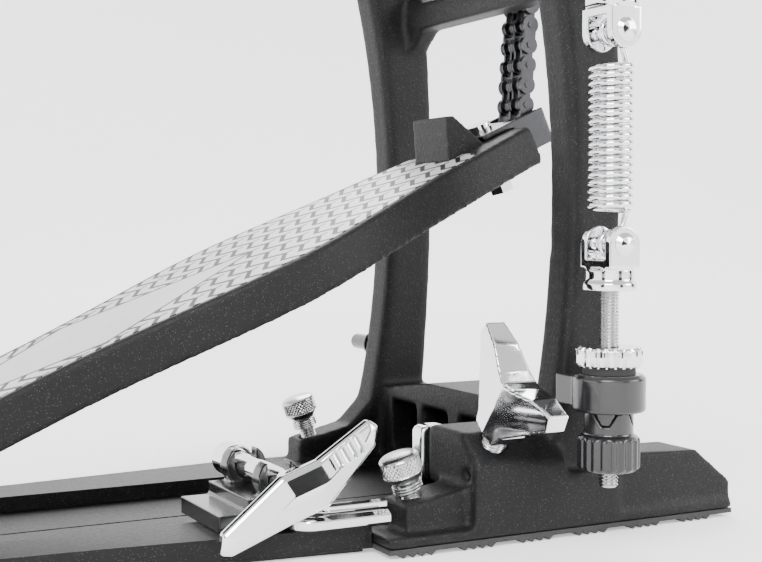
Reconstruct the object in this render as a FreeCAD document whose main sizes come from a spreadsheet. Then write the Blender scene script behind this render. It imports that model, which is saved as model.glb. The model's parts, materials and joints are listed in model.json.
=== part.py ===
"""Bass drum pedal, built as a parametric FreeCAD document of separate sub-parts.

Frame: +X points forward to the drum, +Y to the player's left, +Z up. The origin lies on the floor,
on the pedal's middle plane, under the axis of the return spring. Lengths are in millimetres.
"""
import FreeCAD, Part
import math
import os
import re

import Sketcher
from FreeCAD import Placement, Rotation, Vector

# Driving dimensions, one spreadsheet cell each.
DIMENSIONS = {
    # posts and bearings
    "post_in": 53.5, "post_out": 67.5, "shaft_x": 1, "shaft_z": 203, "bearing_boss_r": 16,
    "bearing_r": 11, "shaft_r": 5, "run_gap": 0.05, "boss_lip": 1.5,
    "post_foot_rear": -10.2, "post_waist_rear": -1.6, "post_top_rear": -10.3,
    "post_foot_front": 13.5, "post_waist_front": 17.2, "post_top_front": 14.3,
    "post_foot_z": 27, "post_waist_z": 106, "post_top_z": 184, "post_edge_r": 2.5,
    # brace and cross member
    "brace_rear": 5, "brace_front": 15, "brace_low": 171, "brace_top": 181,
    "cross_rear": -5, "cross_front": 25, "cross_low": 3.1, "cross_side_z": 33, "cross_mid_z": 38,
    # side feet
    "foot_in": 50.5, "foot_out": 72, "foot_rear": -68, "foot_front": 60, "foot_low": 2.7, "foot_top": 6,
    "tooth_pitch": 3.1, "tooth_deep": 1.3, "tooth_period": 20.7,
    # hoop clamp
    "boss_rear": -39, "boss_in": 42, "boss_top": 33.6, "bolt_x": -29, "bolt_y": -63, "bolt_z": 27.5,
    "bolt_tilt": 36, "bolt_r": 4, "lever_x": 5, "lever_z": 14, "lever_pin_r": 3,
    "jaw_half": 20, "jaw_front": 58, "jaw_low": 24, "jaw_top": 33, "jaw_pad": 3,
    # spurs
    "spur_tilt": 19, "spur_r": 3, "spur_right_x": -48.7, "spur_right_y": -58,
    "spur_left_x": -29.4, "spur_left_y": 60,
    # base plate
    "plate_low": 1.5, "plate_floor": 3, "plate_rail": 8, "plate_rear": -300, "plate_front": 22,
    "plate_rear_half": 40, "plate_mid_half": 52, "plate_wide_half": 61, "recess_half": 31.5,
    # heel and footboard
    "heel_x": -225, "heel_z": 17, "heel_pin_r": 3, "board_slope": 24.23, "board_deep": 13.5,
    "board_deck": 4.5, "board_length": 264, "board_wall": 4, "knuckle_r": 5.7, "heel_half": 33,
    "inlay_thick": 0.8,
    # chain and its wheel
    "chain_pitch": 7.11, "wheel_teeth": 21, "toe_pin_x": 20.5, "toe_pin_z": 132,
    "roller_r": 2.1, "chain_pin_r": 1.15, "plate_end_r": 3.2, "wheel_r": 20, "wheel_half": 8,
    # beater
    "beater_lean": 42, "rod_offset": 14, "rod_r": 4.75, "rod_below": 8, "rod_above": 190,
    # spring column
    "spring_y": -84, "spring_mean_r": 6, "wire_r": 1, "coil_low": 101, "coil_top": 144, "coil_count": 19,
    "low_pin_z": 90.8, "high_pin_z": 154, "clevis_pin_r": 2.2, "flange_r": 8.15, "clevis_half": 7.3,
    "rod_low": 17.6, "thread_r": 3, "rocker_r": 29, "housing_r": 11.1, "housing_low": 40.7,
    "housing_top": 52, "nut_r": 10, "lock_r": 9.5, "neck_r": 7.5,
    # tools kept on the base plate
    "key_x": -93, "key_z": 22, "key_shaft_r": 3.5, "key_rear": -16, "key_front": -62,
    "hex_small_x": -86, "hex_small_z": 14, "hex_small_r": 1.5, "hex_large_x": -92.5,
    "hex_large_z": 10.9, "hex_large_r": 2.25,
}

doc = FreeCAD.newDocument("bass_drum_pedal")
dims = doc.addObject("Spreadsheet::Sheet", "dims")
for row, (alias, number) in enumerate(DIMENSIONS.items(), start=1):
    dims.set(f"A{row}", alias)
    dims.set(f"B{row}", str(number))
    dims.setAlias(f"B{row}", alias)
doc.recompute()

NODES = []


def bound(text):
    """The expression with each alias written as a reference to the spreadsheet."""
    return re.sub(r"[a-z_]+", lambda m: "dims." + m[0] if m[0] in DIMENSIONS else m[0], str(text))


def amount(text):
    """The present value of an expression in aliases."""
    return float(dims.evalExpression(bound(text)))


def bind(item, **sizes):
    """Tie each named property of a document object to an expression."""
    for name, text in sizes.items():
        item.setExpression(name.replace("__", "."), bound(text))
    return item


def seat(item, at, turn=None):
    """Place a document object at three expressions, with a fixed rotation."""
    item.Placement = Placement(Vector(*(amount(v) for v in at)), turn or Rotation())
    for letter, text in zip("xyz", at):
        item.setExpression(f"Placement.Base.{letter}", bound(text))
    return item


def node(item, label):
    """Name a finished sub-part; its label becomes its file's name."""
    item.Label = label
    NODES.append(item)
    return item


def box(low, high):
    """A block between two corners, each given by three expressions."""
    item = doc.addObject("Part::Box", "block")
    spans = [f"({b}) - ({a})" for a, b in zip(low, high)]
    bind(item, Length=spans[0], Width=spans[1], Height=spans[2])
    return seat(item, low)


AXIS_TURN = {
    "x": Rotation(Vector(0, 1, 0), 90),
    "y": Rotation(Vector(1, 0, 0), -90),
    "z": Rotation(),
}


def cylinder(radius, length, at, axis="z"):
    """A cylinder that starts at a point and runs along an axis or a rotation."""
    item = doc.addObject("Part::Cylinder", "round")
    bind(item, Radius=radius, Height=length)
    turn = AXIS_TURN[axis] if isinstance(axis, str) else axis
    return seat(item, at, turn)


def outline_sketch(sketch, outline):
    """Draw a closed outline whose every corner is tied to two expressions."""
    corners = [(amount(a), amount(b)) for a, b in outline]
    for i, start in enumerate(corners):
        end = corners[(i + 1) % len(corners)]
        sketch.addGeometry(Part.LineSegment(Vector(*start, 0), Vector(*end, 0)), False)
    for i in range(len(corners)):
        sketch.addConstraint(Sketcher.Constraint("Coincident", i, 2, (i + 1) % len(corners), 1))
    for i, (corner, texts) in enumerate(zip(corners, outline)):
        for kind, line, at, text in (("DistanceX", -2, corner[0], texts[0]), ("DistanceY", -1, corner[1], texts[1])):
            if abs(at) < 1e-9:
                sketch.addConstraint(Sketcher.Constraint("PointOnObject", i, 1, line))
                continue
            index = sketch.addConstraint(Sketcher.Constraint(kind, -1, 1, i, 1, at))
            sketch.setExpression(f"Constraints[{index}]", bound(text))
    return sketch


PLANE_TURN = {"xz": Rotation(Vector(1, 0, 0), 90), "xy": Rotation(), "yz": Rotation(Vector(1, 1, 1), 120)}
PLANE_OUT = {"xz": (0, 1, 0), "xy": (0, 0, 1), "yz": (1, 0, 0)}


def prism(outline, plane, start, end):
    """A straight outline carried from start to end across its plane."""
    sketch = outline_sketch(doc.addObject("Sketcher::SketchObject", "outline"), outline)
    at = [str(start) if out else "0" for out in PLANE_OUT[plane]]
    seat(sketch, at, PLANE_TURN[plane])
    item = doc.addObject("Part::Extrusion", "prism")
    item.Base = sketch
    item.DirMode = "Custom"
    item.Dir = Vector(*PLANE_OUT[plane])
    item.Solid = True
    return bind(item, LengthFwd=f"({end}) - ({start})")


def turned(profile, at=("0", "0", "0"), turn=None):
    """A PartDesign body turned about its own Z axis from corners (radius, height)."""
    body = doc.addObject("PartDesign::Body", "turned")
    sketch = body.newObject("Sketcher::SketchObject", "profile")
    plane = next(f for f in body.Origin.OriginFeatures if f.Role == "XZ_Plane")
    sketch.AttachmentSupport = [(plane, "")]
    sketch.MapMode = "FlatFace"
    outline_sketch(sketch, profile)
    spin = body.newObject("PartDesign::Revolution", "spin")
    spin.Profile = sketch
    spin.ReferenceAxis = (sketch, ["V_Axis"])
    spin.Angle = 360
    return seat(body, at, turn)


def fuse(*items):
    """Join document objects into one."""
    item = doc.addObject("Part::MultiFuse", "joined")
    item.Shapes = list(items)
    return item


def cut(base, *tools):
    """Take one or more tools away from a base."""
    item = doc.addObject("Part::Cut", "cut")
    item.Base = base
    item.Tool = tools[0] if len(tools) == 1 else fuse(*tools)
    return item


def fillet(base, radius, wanted):
    """Round the edges of a base that the test picks out."""
    doc.recompute()
    item = doc.addObject("Part::Fillet", "rounded")
    item.Base = base
    edges = [i for i, edge in enumerate(base.Shape.Edges, start=1) if wanted(edge)]
    item.Edges = [(i, amount(radius), amount(radius)) for i in edges]
    return item


def shape_node(shape, label):
    """A finished sub-part whose curved shape is worked out from the sheet in code."""
    return node(shaped(shape), label)


def shaped(shape):
    """A document object that holds a shape made in code."""
    item = doc.addObject("Part::Feature", "shape")
    item.Shape = shape
    return item


def group(items, label):
    """One node that holds several separate solids."""
    item = doc.addObject("Part::Compound", "group")
    item.Links = list(items)
    return node(item, label)


def both_sides(make):
    """The same piece made for the player's right (-1) and left (+1) sides."""
    return [make(side) for side in (-1, 1)]


def side_block(side, x_low, x_high, y_in, y_out, z_low, z_high):
    """A block on one side of the middle plane, given by its inner and outer distances."""
    low, high = (f"-({y_out})", f"-({y_in})") if side < 0 else (y_in, y_out)
    return box((x_low, low, z_low), (x_high, high, z_high))


def tilt_back(angle):
    """A rotation that leans +Z towards the heel."""
    return Rotation(Vector(0, 1, 0), -amount(angle))


# ------------------------------------------------------------------ frame casting

def post(side):
    """One bowed post: hollow towards the heel, full towards the drum, with rounded long edges."""
    rear_foot, rear_waist, rear_top = (Vector(amount(x), 0, amount(z)) for x, z in (
        ("post_foot_rear", "post_foot_z"), ("post_waist_rear", "post_waist_z"), ("post_top_rear", "post_top_z")))
    front_foot, front_waist, front_top = (Vector(amount(x), 0, amount(z)) for x, z in (
        ("post_foot_front", "post_foot_z + 6"), ("post_waist_front", "post_waist_z - 11"),
        ("post_top_front", "post_top_z")))
    low = amount("foot_low") + 1
    toe_rear = Vector(rear_foot.x - 8, 0, low)
    toe_front = Vector(front_foot.x + 8, 0, low)
    rear_neck = Vector(amount("shaft_x - 0.93 * bearing_boss_r"), 0, amount("shaft_z - 4"))
    front_neck = Vector(amount("shaft_x + 0.93 * bearing_boss_r"), 0, amount("shaft_z - 4"))
    edges = [
        Part.LineSegment(toe_rear, rear_foot),
        Part.Arc(rear_foot, rear_waist, rear_top),
        Part.LineSegment(rear_top, rear_neck),
        Part.LineSegment(rear_neck, front_neck),
        Part.LineSegment(front_neck, front_top),
        Part.Arc(front_top, front_waist, front_foot),
        Part.LineSegment(front_foot, toe_front),
        Part.LineSegment(toe_front, toe_rear),
    ]
    face = Part.Face(Part.Wire([edge.toShape() for edge in edges]))
    thick = amount("post_out - post_in")
    solid = face.extrude(Vector(0, thick, 0))
    long_edges = [e for e in solid.Edges if e.Length > 100]
    solid = solid.makeFillet(amount("post_edge_r"), long_edges)
    start = amount("post_in") if side > 0 else -amount("post_out")
    solid.translate(Vector(0, start, 0))
    return shaped(solid)


def bearing_boss(side):
    """The round housing on top of a post."""
    start = "post_in - boss_lip" if side > 0 else "-post_out - boss_lip"
    return cylinder("bearing_boss_r", "post_out - post_in + 2 * boss_lip", ("shaft_x", start, "shaft_z"), "y")


def brace_corner(side):
    """The web where the brace runs into a post, above and below."""
    reach = 12
    y_post = "post_in + 1"
    inner = f"post_in - {reach}"
    outline = [("post_in + 1", "brace_low - 9"), ("post_in + 1", "brace_top + 8"), (inner, "brace_top - 1"),
               (inner, "brace_low + 1")]
    signed = [(f"{side} * ({y})", z) for y, z in outline]
    return prism(signed, "yz", "brace_rear + 1", "brace_front - 1")


bolt_turn = Rotation(Vector(1, 0, 0), amount("bolt_tilt"))
bolt_out = bolt_turn.multVec(Vector(0, 0, 1))


def along_bolt(distance):
    """A point on the wing bolt's axis, as three expressions."""
    return ("bolt_x", f"bolt_y - sin(bolt_tilt) * ({distance})", f"bolt_z + cos(bolt_tilt) * ({distance})")


def clamp_boss():
    """The foot behind the right post that carries the wing bolt, with its outer top edge cut back."""
    block = box(("boss_rear", "-foot_out", "foot_top - 1"), ("post_foot_rear + 4", "-boss_in", "boss_top"))
    slope = prism([("-foot_out - 1", "boss_top - 9.7"), ("-foot_out - 1", "boss_top + 2"),
                   ("-foot_out + 11.4", "boss_top + 2")], "yz", "boss_rear - 1", "post_foot_rear + 6")
    front = box(("post_foot_rear + 3.9", "-foot_out", "foot_top - 1"), ("14", "-foot_in", "20"))
    return fuse(fillet(cut(block, slope), "1.5", lambda e: e.Length > 12 and e.BoundBox.ZMin > 10), front)


def spur_block(side):
    """The block on a side foot that a spur screw passes through."""
    if side < 0:
        outline = [("-60", "foot_top - 1"), ("-60", "14.3"), ("-40", "17.6"), ("-38", "17.6"),
                   ("-38", "foot_top - 1")]
    else:
        outline = [("-40", "foot_top - 1"), ("-40", "14.2"), ("-18.7", "19.2"), ("-10.5", "27.4"),
                   ("-8", "27.4"), ("-8", "foot_top - 1")]
    y_low, y_high = ("-post_out", "-foot_in - 0.5") if side < 0 else ("54", "post_out")
    return prism(outline, "xz", y_low, y_high)


def front_foot(side):
    """The raised front part of a side foot, falling towards the drum."""
    outline = [("10", "foot_top - 1"), ("10", "24.5"), ("foot_front - 14", "23"), ("foot_front", "12"),
               ("foot_front", "foot_top - 1")]
    y_low, y_high = ("-foot_out + 1.5", "-foot_in") if side < 0 else ("foot_in", "foot_out - 1.5")
    return prism(outline, "xz", y_low, y_high)


feet = both_sides(lambda side: side_block(side, "foot_rear", "foot_front", "foot_in", "foot_out",
                                          "foot_low", "foot_top"))
brace = box(("brace_rear", "-post_in - 1", "brace_low"), ("brace_front", "post_in + 1", "brace_top"))
cross_outline = [("-foot_in - 5", "cross_low"), ("-foot_in - 5", "cross_side_z"), ("-20", "cross_mid_z"),
                 ("20", "cross_mid_z"), ("foot_in + 5", "cross_side_z"), ("foot_in + 5", "cross_low")]
cross_member = prism(cross_outline, "yz", "cross_rear", "cross_front")
upper_jaw = box(("cross_front - 1", "-jaw_half", "jaw_low"), ("jaw_front", "jaw_half", "jaw_top"))
jaw_nose = prism([("jaw_front - 8", "jaw_top - 1"), ("jaw_front + 1", "jaw_top + 1"),
                  ("jaw_front + 1", "jaw_top - 6")], "xz", "-jaw_half - 1", "jaw_half + 1")
casting = fuse(
    *both_sides(post), *both_sides(bearing_boss), brace, *both_sides(brace_corner), *feet,
    *both_sides(front_foot), *both_sides(spur_block), clamp_boss(), cross_member, cut(upper_jaw, jaw_nose))

pocket_walls = [("-22", "-4"), ("4", "22"), ("27", "46")]
pockets = [box(("cross_rear - 1", low, "11"), ("cross_front - 7", high, "cross_side_z - 4"))
           for low, high in pocket_walls]
lever_slot = box(("cross_rear - 1", "-45", "cross_low - 1"), ("cross_front + 1", "-31", "25"))
pad_slot = box(("boss_rear + 1", "-62", "foot_top"), ("-19", "-boss_in + 1", "17"))
bolt_hole = cylinder("bolt_r + run_gap", "40", along_bolt("-18"), bolt_turn)
bearing_holes = [cylinder("bearing_r", "8", ("shaft_x", y, "shaft_z"), "y")
                 for y in ("-post_out - boss_lip - 0.01", "post_out + boss_lip - 7.99")]
shaft_holes = cylinder("shaft_r + 1.5", "2 * post_out + 10", ("shaft_x", "-post_out - 5", "shaft_z"), "y")


def along_spur(side, distance):
    """A point on a spur's axis, measured from the floor."""
    name = "right" if side < 0 else "left"
    return (f"spur_{name}_x - sin(spur_tilt) * ({distance})", f"spur_{name}_y", f"cos(spur_tilt) * ({distance})")


spur_holes = both_sides(lambda side: cylinder("spur_r + run_gap", "40", along_spur(side, "-4"),
                                              tilt_back("spur_tilt")))
lever_pin_hole = cylinder("lever_pin_r", "27", ("lever_x", "-51", "lever_z"), "y")
side_hole = cylinder("1.6", "9", ("boss_rear - 1", "-66", "21"), "x")
plug_hole = cylinder("3.1", "9", ("-1.5", "post_out - 8", "48.7"), "y")
plate_screw_spots = [("0", "-14"), ("0", "14"), ("18", "-14"), ("18", "14")]
screw_holes = [cylinder("2.5", "9", (x, y, "cross_low - 1"), "z") for x, y in plate_screw_spots]
node(cut(casting, *pockets, lever_slot, pad_slot, bolt_hole, *bearing_holes, shaft_holes, *spur_holes,
         lever_pin_hole, side_hole, plug_hole, *screw_holes), "frame_casting")


# ------------------------------------------------------------------ rubber under the side feet

def serrated_pad(side):
    """A rubber strip with groups of four teeth biting down."""
    x_low, x_high = amount("foot_rear"), amount("foot_front")
    pitch, deep, period = amount("tooth_pitch"), amount("tooth_deep"), amount("tooth_period")
    points = [(x_low, amount("foot_low")), (x_low, deep)]
    start = x_low + 3
    while start + 4 * pitch < x_high:
        for tooth in range(4):
            left = start + tooth * pitch
            points += [(left, deep), (left + pitch / 2, 0)]
        points.append((start + 4 * pitch, deep))
        start += period
    points += [(x_high, deep), (x_high, amount("foot_low"))]
    corners = [Vector(x, 0, z) for x, z in points]
    face = Part.Face(Part.makePolygon(corners + corners[:1]))
    width = amount("foot_out - foot_in") - 1
    solid = face.extrude(Vector(0, width, 0))
    solid.translate(Vector(0, amount("foot_in") + 0.5 if side > 0 else -amount("foot_out") + 0.5, 0))
    below = Vector(*(amount(value) for value in along_spur(side, "-6")))
    up_spur = tilt_back("spur_tilt").multVec(Vector(0, 0, 1))
    return solid.cut(Part.makeCylinder(amount("spur_r + 0.5"), 12, below, up_spur))


shape_node(Part.makeCompound(both_sides(serrated_pad)), "side_pads")

# ------------------------------------------------------------------ base plate

plate_outline = [("plate_rear", "-plate_rear_half"), ("-146", "-plate_mid_half"), ("foot_rear - 0.5", "-plate_wide_half"),
                 ("foot_rear - 0.5", "-foot_in + 0.5"), ("plate_front", "-foot_in + 0.5"),
                 ("plate_front", "foot_in - 0.5"), ("foot_rear - 0.5", "foot_in - 0.5"),
                 ("foot_rear - 0.5", "plate_wide_half"), ("-146", "plate_mid_half"),
                 ("plate_rear", "plate_rear_half")]
plate = prism(plate_outline, "xy", "plate_low", "plate_rail")
recess = box(("plate_rear + 6", "-recess_half", "plate_floor"), ("plate_front + 1", "recess_half", "plate_rail + 1"))
tongue = box(("-45", "-foot_in - 1", "plate_floor"), ("plate_front + 1", "foot_in + 1", "plate_rail + 1"))
crease = box(("-206", "-0.6", "plate_floor - 0.6"), ("-20", "0.6", "plate_floor + 1"))
sunk = [turned([("0", "0"), ("4.6", "0"), ("2.6", "1.6"), ("2.6", "4"), ("0", "4")], (x, y, "plate_low - 0.01"))
        for x, y in plate_screw_spots]
heel_screw_spots = [("-284", "-14"), ("-284", "14")]
heel_sunk = [turned([("0", "0"), ("4.6", "0"), ("2.6", "1.6"), ("2.6", "4"), ("0", "4")], (x, y, "plate_low - 0.01"))
             for x, y in heel_screw_spots]
node(cut(plate, recess, tongue, crease, *sunk, *heel_sunk), "base_plate")

mat_outline = [("plate_rear + 2", "-plate_rear_half + 2"), ("-146", "-plate_mid_half + 2"), ("-70", "-plate_wide_half + 3"),
               ("-70", "-foot_in + 2.5"), ("plate_front - 1", "-foot_in + 2.5"),
               ("plate_front - 1", "foot_in - 2.5"),
               ("-70", "foot_in - 2.5"), ("-70", "plate_wide_half - 3"), ("-146", "plate_mid_half - 2"),
               ("plate_rear + 2", "plate_rear_half - 2")]
mat_holes = [cylinder("5", "4", (x, y, "-1"), "z") for x, y in heel_screw_spots + plate_screw_spots]
node(cut(prism(mat_outline, "xy", "0", "plate_low"), *mat_holes), "plate_mat")


def sunk_screw(x, y):
    """A countersunk screw driven up from below, with a cross recess left to its finish."""
    profile = [("0", "0"), ("4.4", "0"), ("2.4", "1.5"), ("2.4", "8.5"), ("0", "8.5")]
    return turned(profile, (x, y, "plate_low"))


group([sunk_screw(x, y) for x, y in plate_screw_spots], "base_plate_screws")
group([sunk_screw(x, y) for x, y in heel_screw_spots], "heel_plate_screws")

# ------------------------------------------------------------------ heel plate and hinge

heel_outline = [("plate_rear + 6.5", "plate_floor"), ("plate_rear + 6.5", "16"), ("plate_rear + 12", "22"),
                ("heel_x - 11", "heel_z + 5"), ("heel_x - 7", "heel_z + 4"), ("heel_x - 7", "plate_floor")]
heel_block = fillet(prism(heel_outline, "xz", "-recess_half + 0.5", "recess_half - 0.5"), "2",
                    lambda e: e.Length < 40 and e.BoundBox.ZMin > 14 and e.BoundBox.YLength < 1)
heel_hollow = box(("plate_rear + 11", "-recess_half + 4", "plate_floor - 1"),
                  ("heel_x - 11", "recess_half - 4", "13"))
heel_pads = [cylinder("5.5", "12", (x, y, "plate_floor"), "z") for x, y in heel_screw_spots]
heel_pad_holes = [cylinder("2.5", "8", (x, y, "plate_floor - 1"), "z") for x, y in heel_screw_spots]
heel_knuckle = cylinder("knuckle_r", "40", ("heel_x", "-20", "heel_z"), "y")
heel_web = box(("heel_x - 8", "-20", "heel_z - 5"), ("heel_x", "20", "heel_z + 3"))
heel_bore = cylinder("heel_pin_r", "46", ("heel_x", "-23", "heel_z"), "y")
heel_body = cut(fuse(cut(heel_block, heel_hollow), *heel_pads, heel_knuckle, heel_web), heel_bore, *heel_pad_holes)
node(heel_body, "heel_plate")
node(turned([("0", "-33.5"), ("heel_pin_r - 0.4", "-33.5"), ("heel_pin_r", "-33"), ("heel_pin_r", "33"),
             ("heel_pin_r - 0.4", "33.5"), ("0", "33.5")], ("heel_x", "0", "heel_z"), AXIS_TURN["y"]), "heel_pin")

# ------------------------------------------------------------------ footboard

board_turn = Rotation(Vector(0, 1, 0), -amount("board_slope"))
heel_at = Vector(amount("heel_x"), 0, amount("heel_z"))
deck_top = 5.7
HALF_WIDTHS = ((8, 33), (50, 33), (90, 33.5), (118, 39), (140, 44), (160, 45.2), (182, 40.5), (204, 34),
               (226, 28.5), (246, 24), (264, 21))


def board_face(inset, first, last):
    """The footboard's plan outline, drawn in by an inset, as a face on its own plane."""
    left = [Vector(max(first, min(last, run)), half - inset, 0) for run, half in HALF_WIDTHS]
    right = [Vector(p.x, -p.y, 0) for p in reversed(left)]
    curves = []
    for side in (left, right):
        spline = Part.BSplineCurve()
        spline.interpolate(side)
        curves.append(spline.toShape())
    ends = [Part.makeLine(left[-1], right[0]), Part.makeLine(right[-1], left[0])]
    return Part.Face(Part.Wire([curves[0], ends[0], curves[1], ends[1]]))


def lay_on_board(shape):
    """Carry a shape from the footboard's own plane to its place at rest."""
    shape.Placement = Placement(heel_at, board_turn).multiply(shape.Placement)
    return shape


def slab(face, low, high):
    """A face on the board's plane made a plate between two heights."""
    solid = face.extrude(Vector(0, 0, high - low))
    solid.translate(Vector(0, 0, low))
    return solid


board_run = amount("board_length")
board_low = deck_top - amount("board_deep")
wall = amount("board_wall")
board = slab(board_face(0, 8, board_run), board_low, deck_top)
rim_edges = [e for e in board.Edges if e.Length > 200 and e.BoundBox.ZMin > deck_top - 1]
board = board.makeFillet(1.2, rim_edges)
hollow = slab(board_face(wall, 8 + wall, board_run - 3 * wall), board_low - 1, deck_top - amount("board_deck"))
ribs = [Part.makeBox(3, 100, 8, Vector(run, -50, deck_top - amount("board_deck") - 7.9)) for run in range(40, 260, 36)]
ribs.append(Part.makeBox(board_run - 12, 3, 8, Vector(8, -1.5, deck_top - amount("board_deck") - 7.9)))
for rib in ribs:
    hollow = hollow.cut(rib)
board = board.cut(hollow)
inlay_depth = amount("inlay_thick")
board = board.cut(slab(board_face(3.6, 30, board_run - 24), deck_top - inlay_depth, deck_top + 1))
stop_run, stop_long = 234, 15.5
board = board.cut(Part.makeBox(stop_long, 24, 4, Vector(stop_run, -12, deck_top - inlay_depth)))
for y_low in (-33, 21):
    knuckle = Part.makeCylinder(amount("knuckle_r"), 12, Vector(0, y_low, 0), Vector(0, 1, 0))
    web = Part.makeBox(9, 12, 8, Vector(1, y_low, -4))
    board = board.fuse([knuckle, web])
board = board.cut(Part.makeCylinder(amount("heel_pin_r + run_gap"), 80, Vector(0, -40, 0), Vector(0, 1, 0)))
knuckle_room = Part.makeCylinder(amount("knuckle_r") + 0.6, 42, Vector(0, -21, 0), Vector(0, 1, 0))
board = board.cut(knuckle_room)
toe_bolt_run = 257
board = board.fuse(Part.makeCylinder(6.2, 8, Vector(toe_bolt_run, 0, board_low - 2.5)))
board = board.cut(Part.makeCylinder(2.5, 40, Vector(toe_bolt_run, 0, board_low - 10)))
shape_node(lay_on_board(board.removeSplitter()), "footboard")

inlay = slab(board_face(3.8, 30.2, board_run - 24.2), deck_top - inlay_depth, deck_top)
stop_room = Part.makeBox(stop_long + 1, 25, 4, Vector(stop_run - 0.5, -12.5, deck_top - 2))
inlay = inlay.cut(stop_room)
shape_node(lay_on_board(inlay), "footboard_inlay")

stop_points = [(0, -inlay_depth), (5.5, 14.2), (8.2, 13.2), (stop_long, 0), (stop_long, -inlay_depth)]
stop_corners = [Vector(stop_run + run, -12, deck_top + rise) for run, rise in stop_points]
stop = Part.Face(Part.makePolygon(stop_corners + stop_corners[:1])).extrude(Vector(0, 24, 0))
shape_node(lay_on_board(stop), "toe_stop")

# ------------------------------------------------------------------ chain

heel_to_board = Placement(heel_at, board_turn)
shaft_at = Vector(amount("shaft_x"), 0, amount("shaft_z"))
pitch = amount("chain_pitch")
step = 2 * math.pi / amount("wheel_teeth")
pitch_r = pitch / (2 * math.sin(step / 2))
OUTER_PLATES = ((-7.2, -6.1), (-0.6, 0.6), (6.1, 7.2))
INNER_PLATES = (((-5.9, -4.8), (-1.9, -0.8)), ((0.8, 1.9), (4.8, 5.9)))


def link_plate(start, end, y_low, y_high):
    """One figure-of-eight side plate between two pins."""
    thick = y_high - y_low
    run = end - start
    eyes = [Part.makeCylinder(amount("plate_end_r"), thick, Vector(p.x, y_low, p.z), Vector(0, 1, 0))
            for p in (start, end)]
    waist = Part.makeBox(run.Length, thick, 4.6, Vector(0, y_low, -2.3))
    waist.rotate(Vector(0, 0, 0), Vector(0, 1, 0), -math.degrees(math.atan2(run.z, run.x)))
    waist.translate(Vector(start.x, 0, start.z))
    return waist.fuse(eyes)


def outer_link(start, end):
    """A link of three side plates on two pins, for a double chain."""
    parts = [link_plate(start, end, low, high) for low, high in OUTER_PLATES]
    parts += [Part.makeCylinder(amount("chain_pin_r"), 15, Vector(p.x, -7.5, p.z), Vector(0, 1, 0))
              for p in (start, end)]
    return parts[0].fuse(parts[1:]).removeSplitter()


def inner_link(start, end):
    """A link of two pairs of side plates, each pair with its two rollers."""
    pairs = []
    for first, second in INNER_PLATES:
        parts = [link_plate(start, end, low, high) for low, high in (first, second)]
        width = second[1] - first[0]
        rollers = [Part.makeCylinder(amount("roller_r"), width, Vector(p.x, first[0], p.z), Vector(0, 1, 0))
                   for p in (start, end)]
        pair = parts[0].fuse(parts[1:] + rollers).removeSplitter()
        for p in (start, end):
            bore = Part.makeCylinder(amount("chain_pin_r + run_gap"), 20, Vector(p.x, -10, p.z), Vector(0, 1, 0))
            pair = pair.cut(bore)
        pairs.append(pair)
    return Part.makeCompound(pairs)


def on_wheel(links_up):
    """A pin's place on the wheel, so many links above the point where the chain leaves it."""
    angle = links_up * step
    return shaft_at + Vector(pitch_r * math.cos(angle), 0, pitch_r * math.sin(angle))


leave_at = on_wheel(0)
toe_pin = Vector(amount("toe_pin_x"), 0, amount("toe_pin_z"))
run_count = 10
run_links = {"outer": [], "inner": []}
for number in range(run_count):
    low = toe_pin + (leave_at - toe_pin) * (number / run_count)
    high = toe_pin + (leave_at - toe_pin) * ((number + 1) / run_count)
    kind = "outer" if number % 2 == 0 else "inner"
    run_links[kind].append((outer_link if kind == "outer" else inner_link)(low, high))
shape_node(Part.makeCompound(run_links["outer"]), "chain_run_outer_links")
shape_node(Part.makeCompound(run_links["inner"]), "chain_run_inner_links")
for number in range(3):
    make = outer_link if number % 2 == 0 else inner_link
    shape_node(make(on_wheel(number), on_wheel(number + 1)), f"chain_link_{3 - number}")
wrapped = [(inner_link if number % 2 else outer_link)(on_wheel(number), on_wheel(number + 1))
           for number in (3, 4, 5)]
shape_node(Part.makeCompound(wrapped), "chain_wrapped_links")

def board_block(run, y, rise):
    """A block on the footboard's own plane, given by three pairs of limits."""
    return Part.makeBox(run[1] - run[0], y[1] - y[0], rise[1] - rise[0], Vector(run[0], y[0], rise[0]))


cheek_in, cheek_out = 8.4, 10.4
cheek_front = board_run + 14.2
clamp_top = deck_top + 2.2
clamp = board_block((251, board_run + 1.2), (-cheek_out, cheek_out), (deck_top, clamp_top))
clamp = clamp.fuse([
    board_block((board_run + 0.2, cheek_front), (-cheek_out, -cheek_in), (-5, clamp_top)),
    board_block((board_run + 0.2, cheek_front), (cheek_in, cheek_out), (-5, clamp_top)),
    board_block((board_run + 0.2, cheek_front), (-cheek_out, cheek_out), (-5, -3.2)),
    board_block((cheek_front - 1.5, cheek_front), (-cheek_out, cheek_out), (-5, 1)),
])
clamp = clamp.cut(Part.makeCylinder(2.5, 20, Vector(toe_bolt_run, 0, 0)))
shape_node(lay_on_board(clamp.removeSplitter()), "chain_clamp")

bolt_head = Part.makeCylinder(4.4, 2.6, Vector(toe_bolt_run, 0, clamp_top))
bolt_shank = Part.makeCylinder(2.45, 22, Vector(toe_bolt_run, 0, clamp_top - 22))

def hex_prism(across, low, high, centre=(0, 0)):
    """A six-sided prism along Z, by its width across flats."""
    corner = across / math.sqrt(3)
    ring = [Vector(centre[0] + corner * math.cos(math.radians(60 * i)),
                   centre[1] + corner * math.sin(math.radians(60 * i)), low) for i in range(7)]
    return Part.Face(Part.makePolygon(ring)).extrude(Vector(0, 0, high - low))


bolt_nut = hex_prism(8, board_low - 7.4, board_low - 2.5, (toe_bolt_run, 0))
shape_node(lay_on_board(bolt_head.fuse([bolt_shank, bolt_nut])), "chain_bolt")

# ------------------------------------------------------------------ drive shaft and chain wheel

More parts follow.
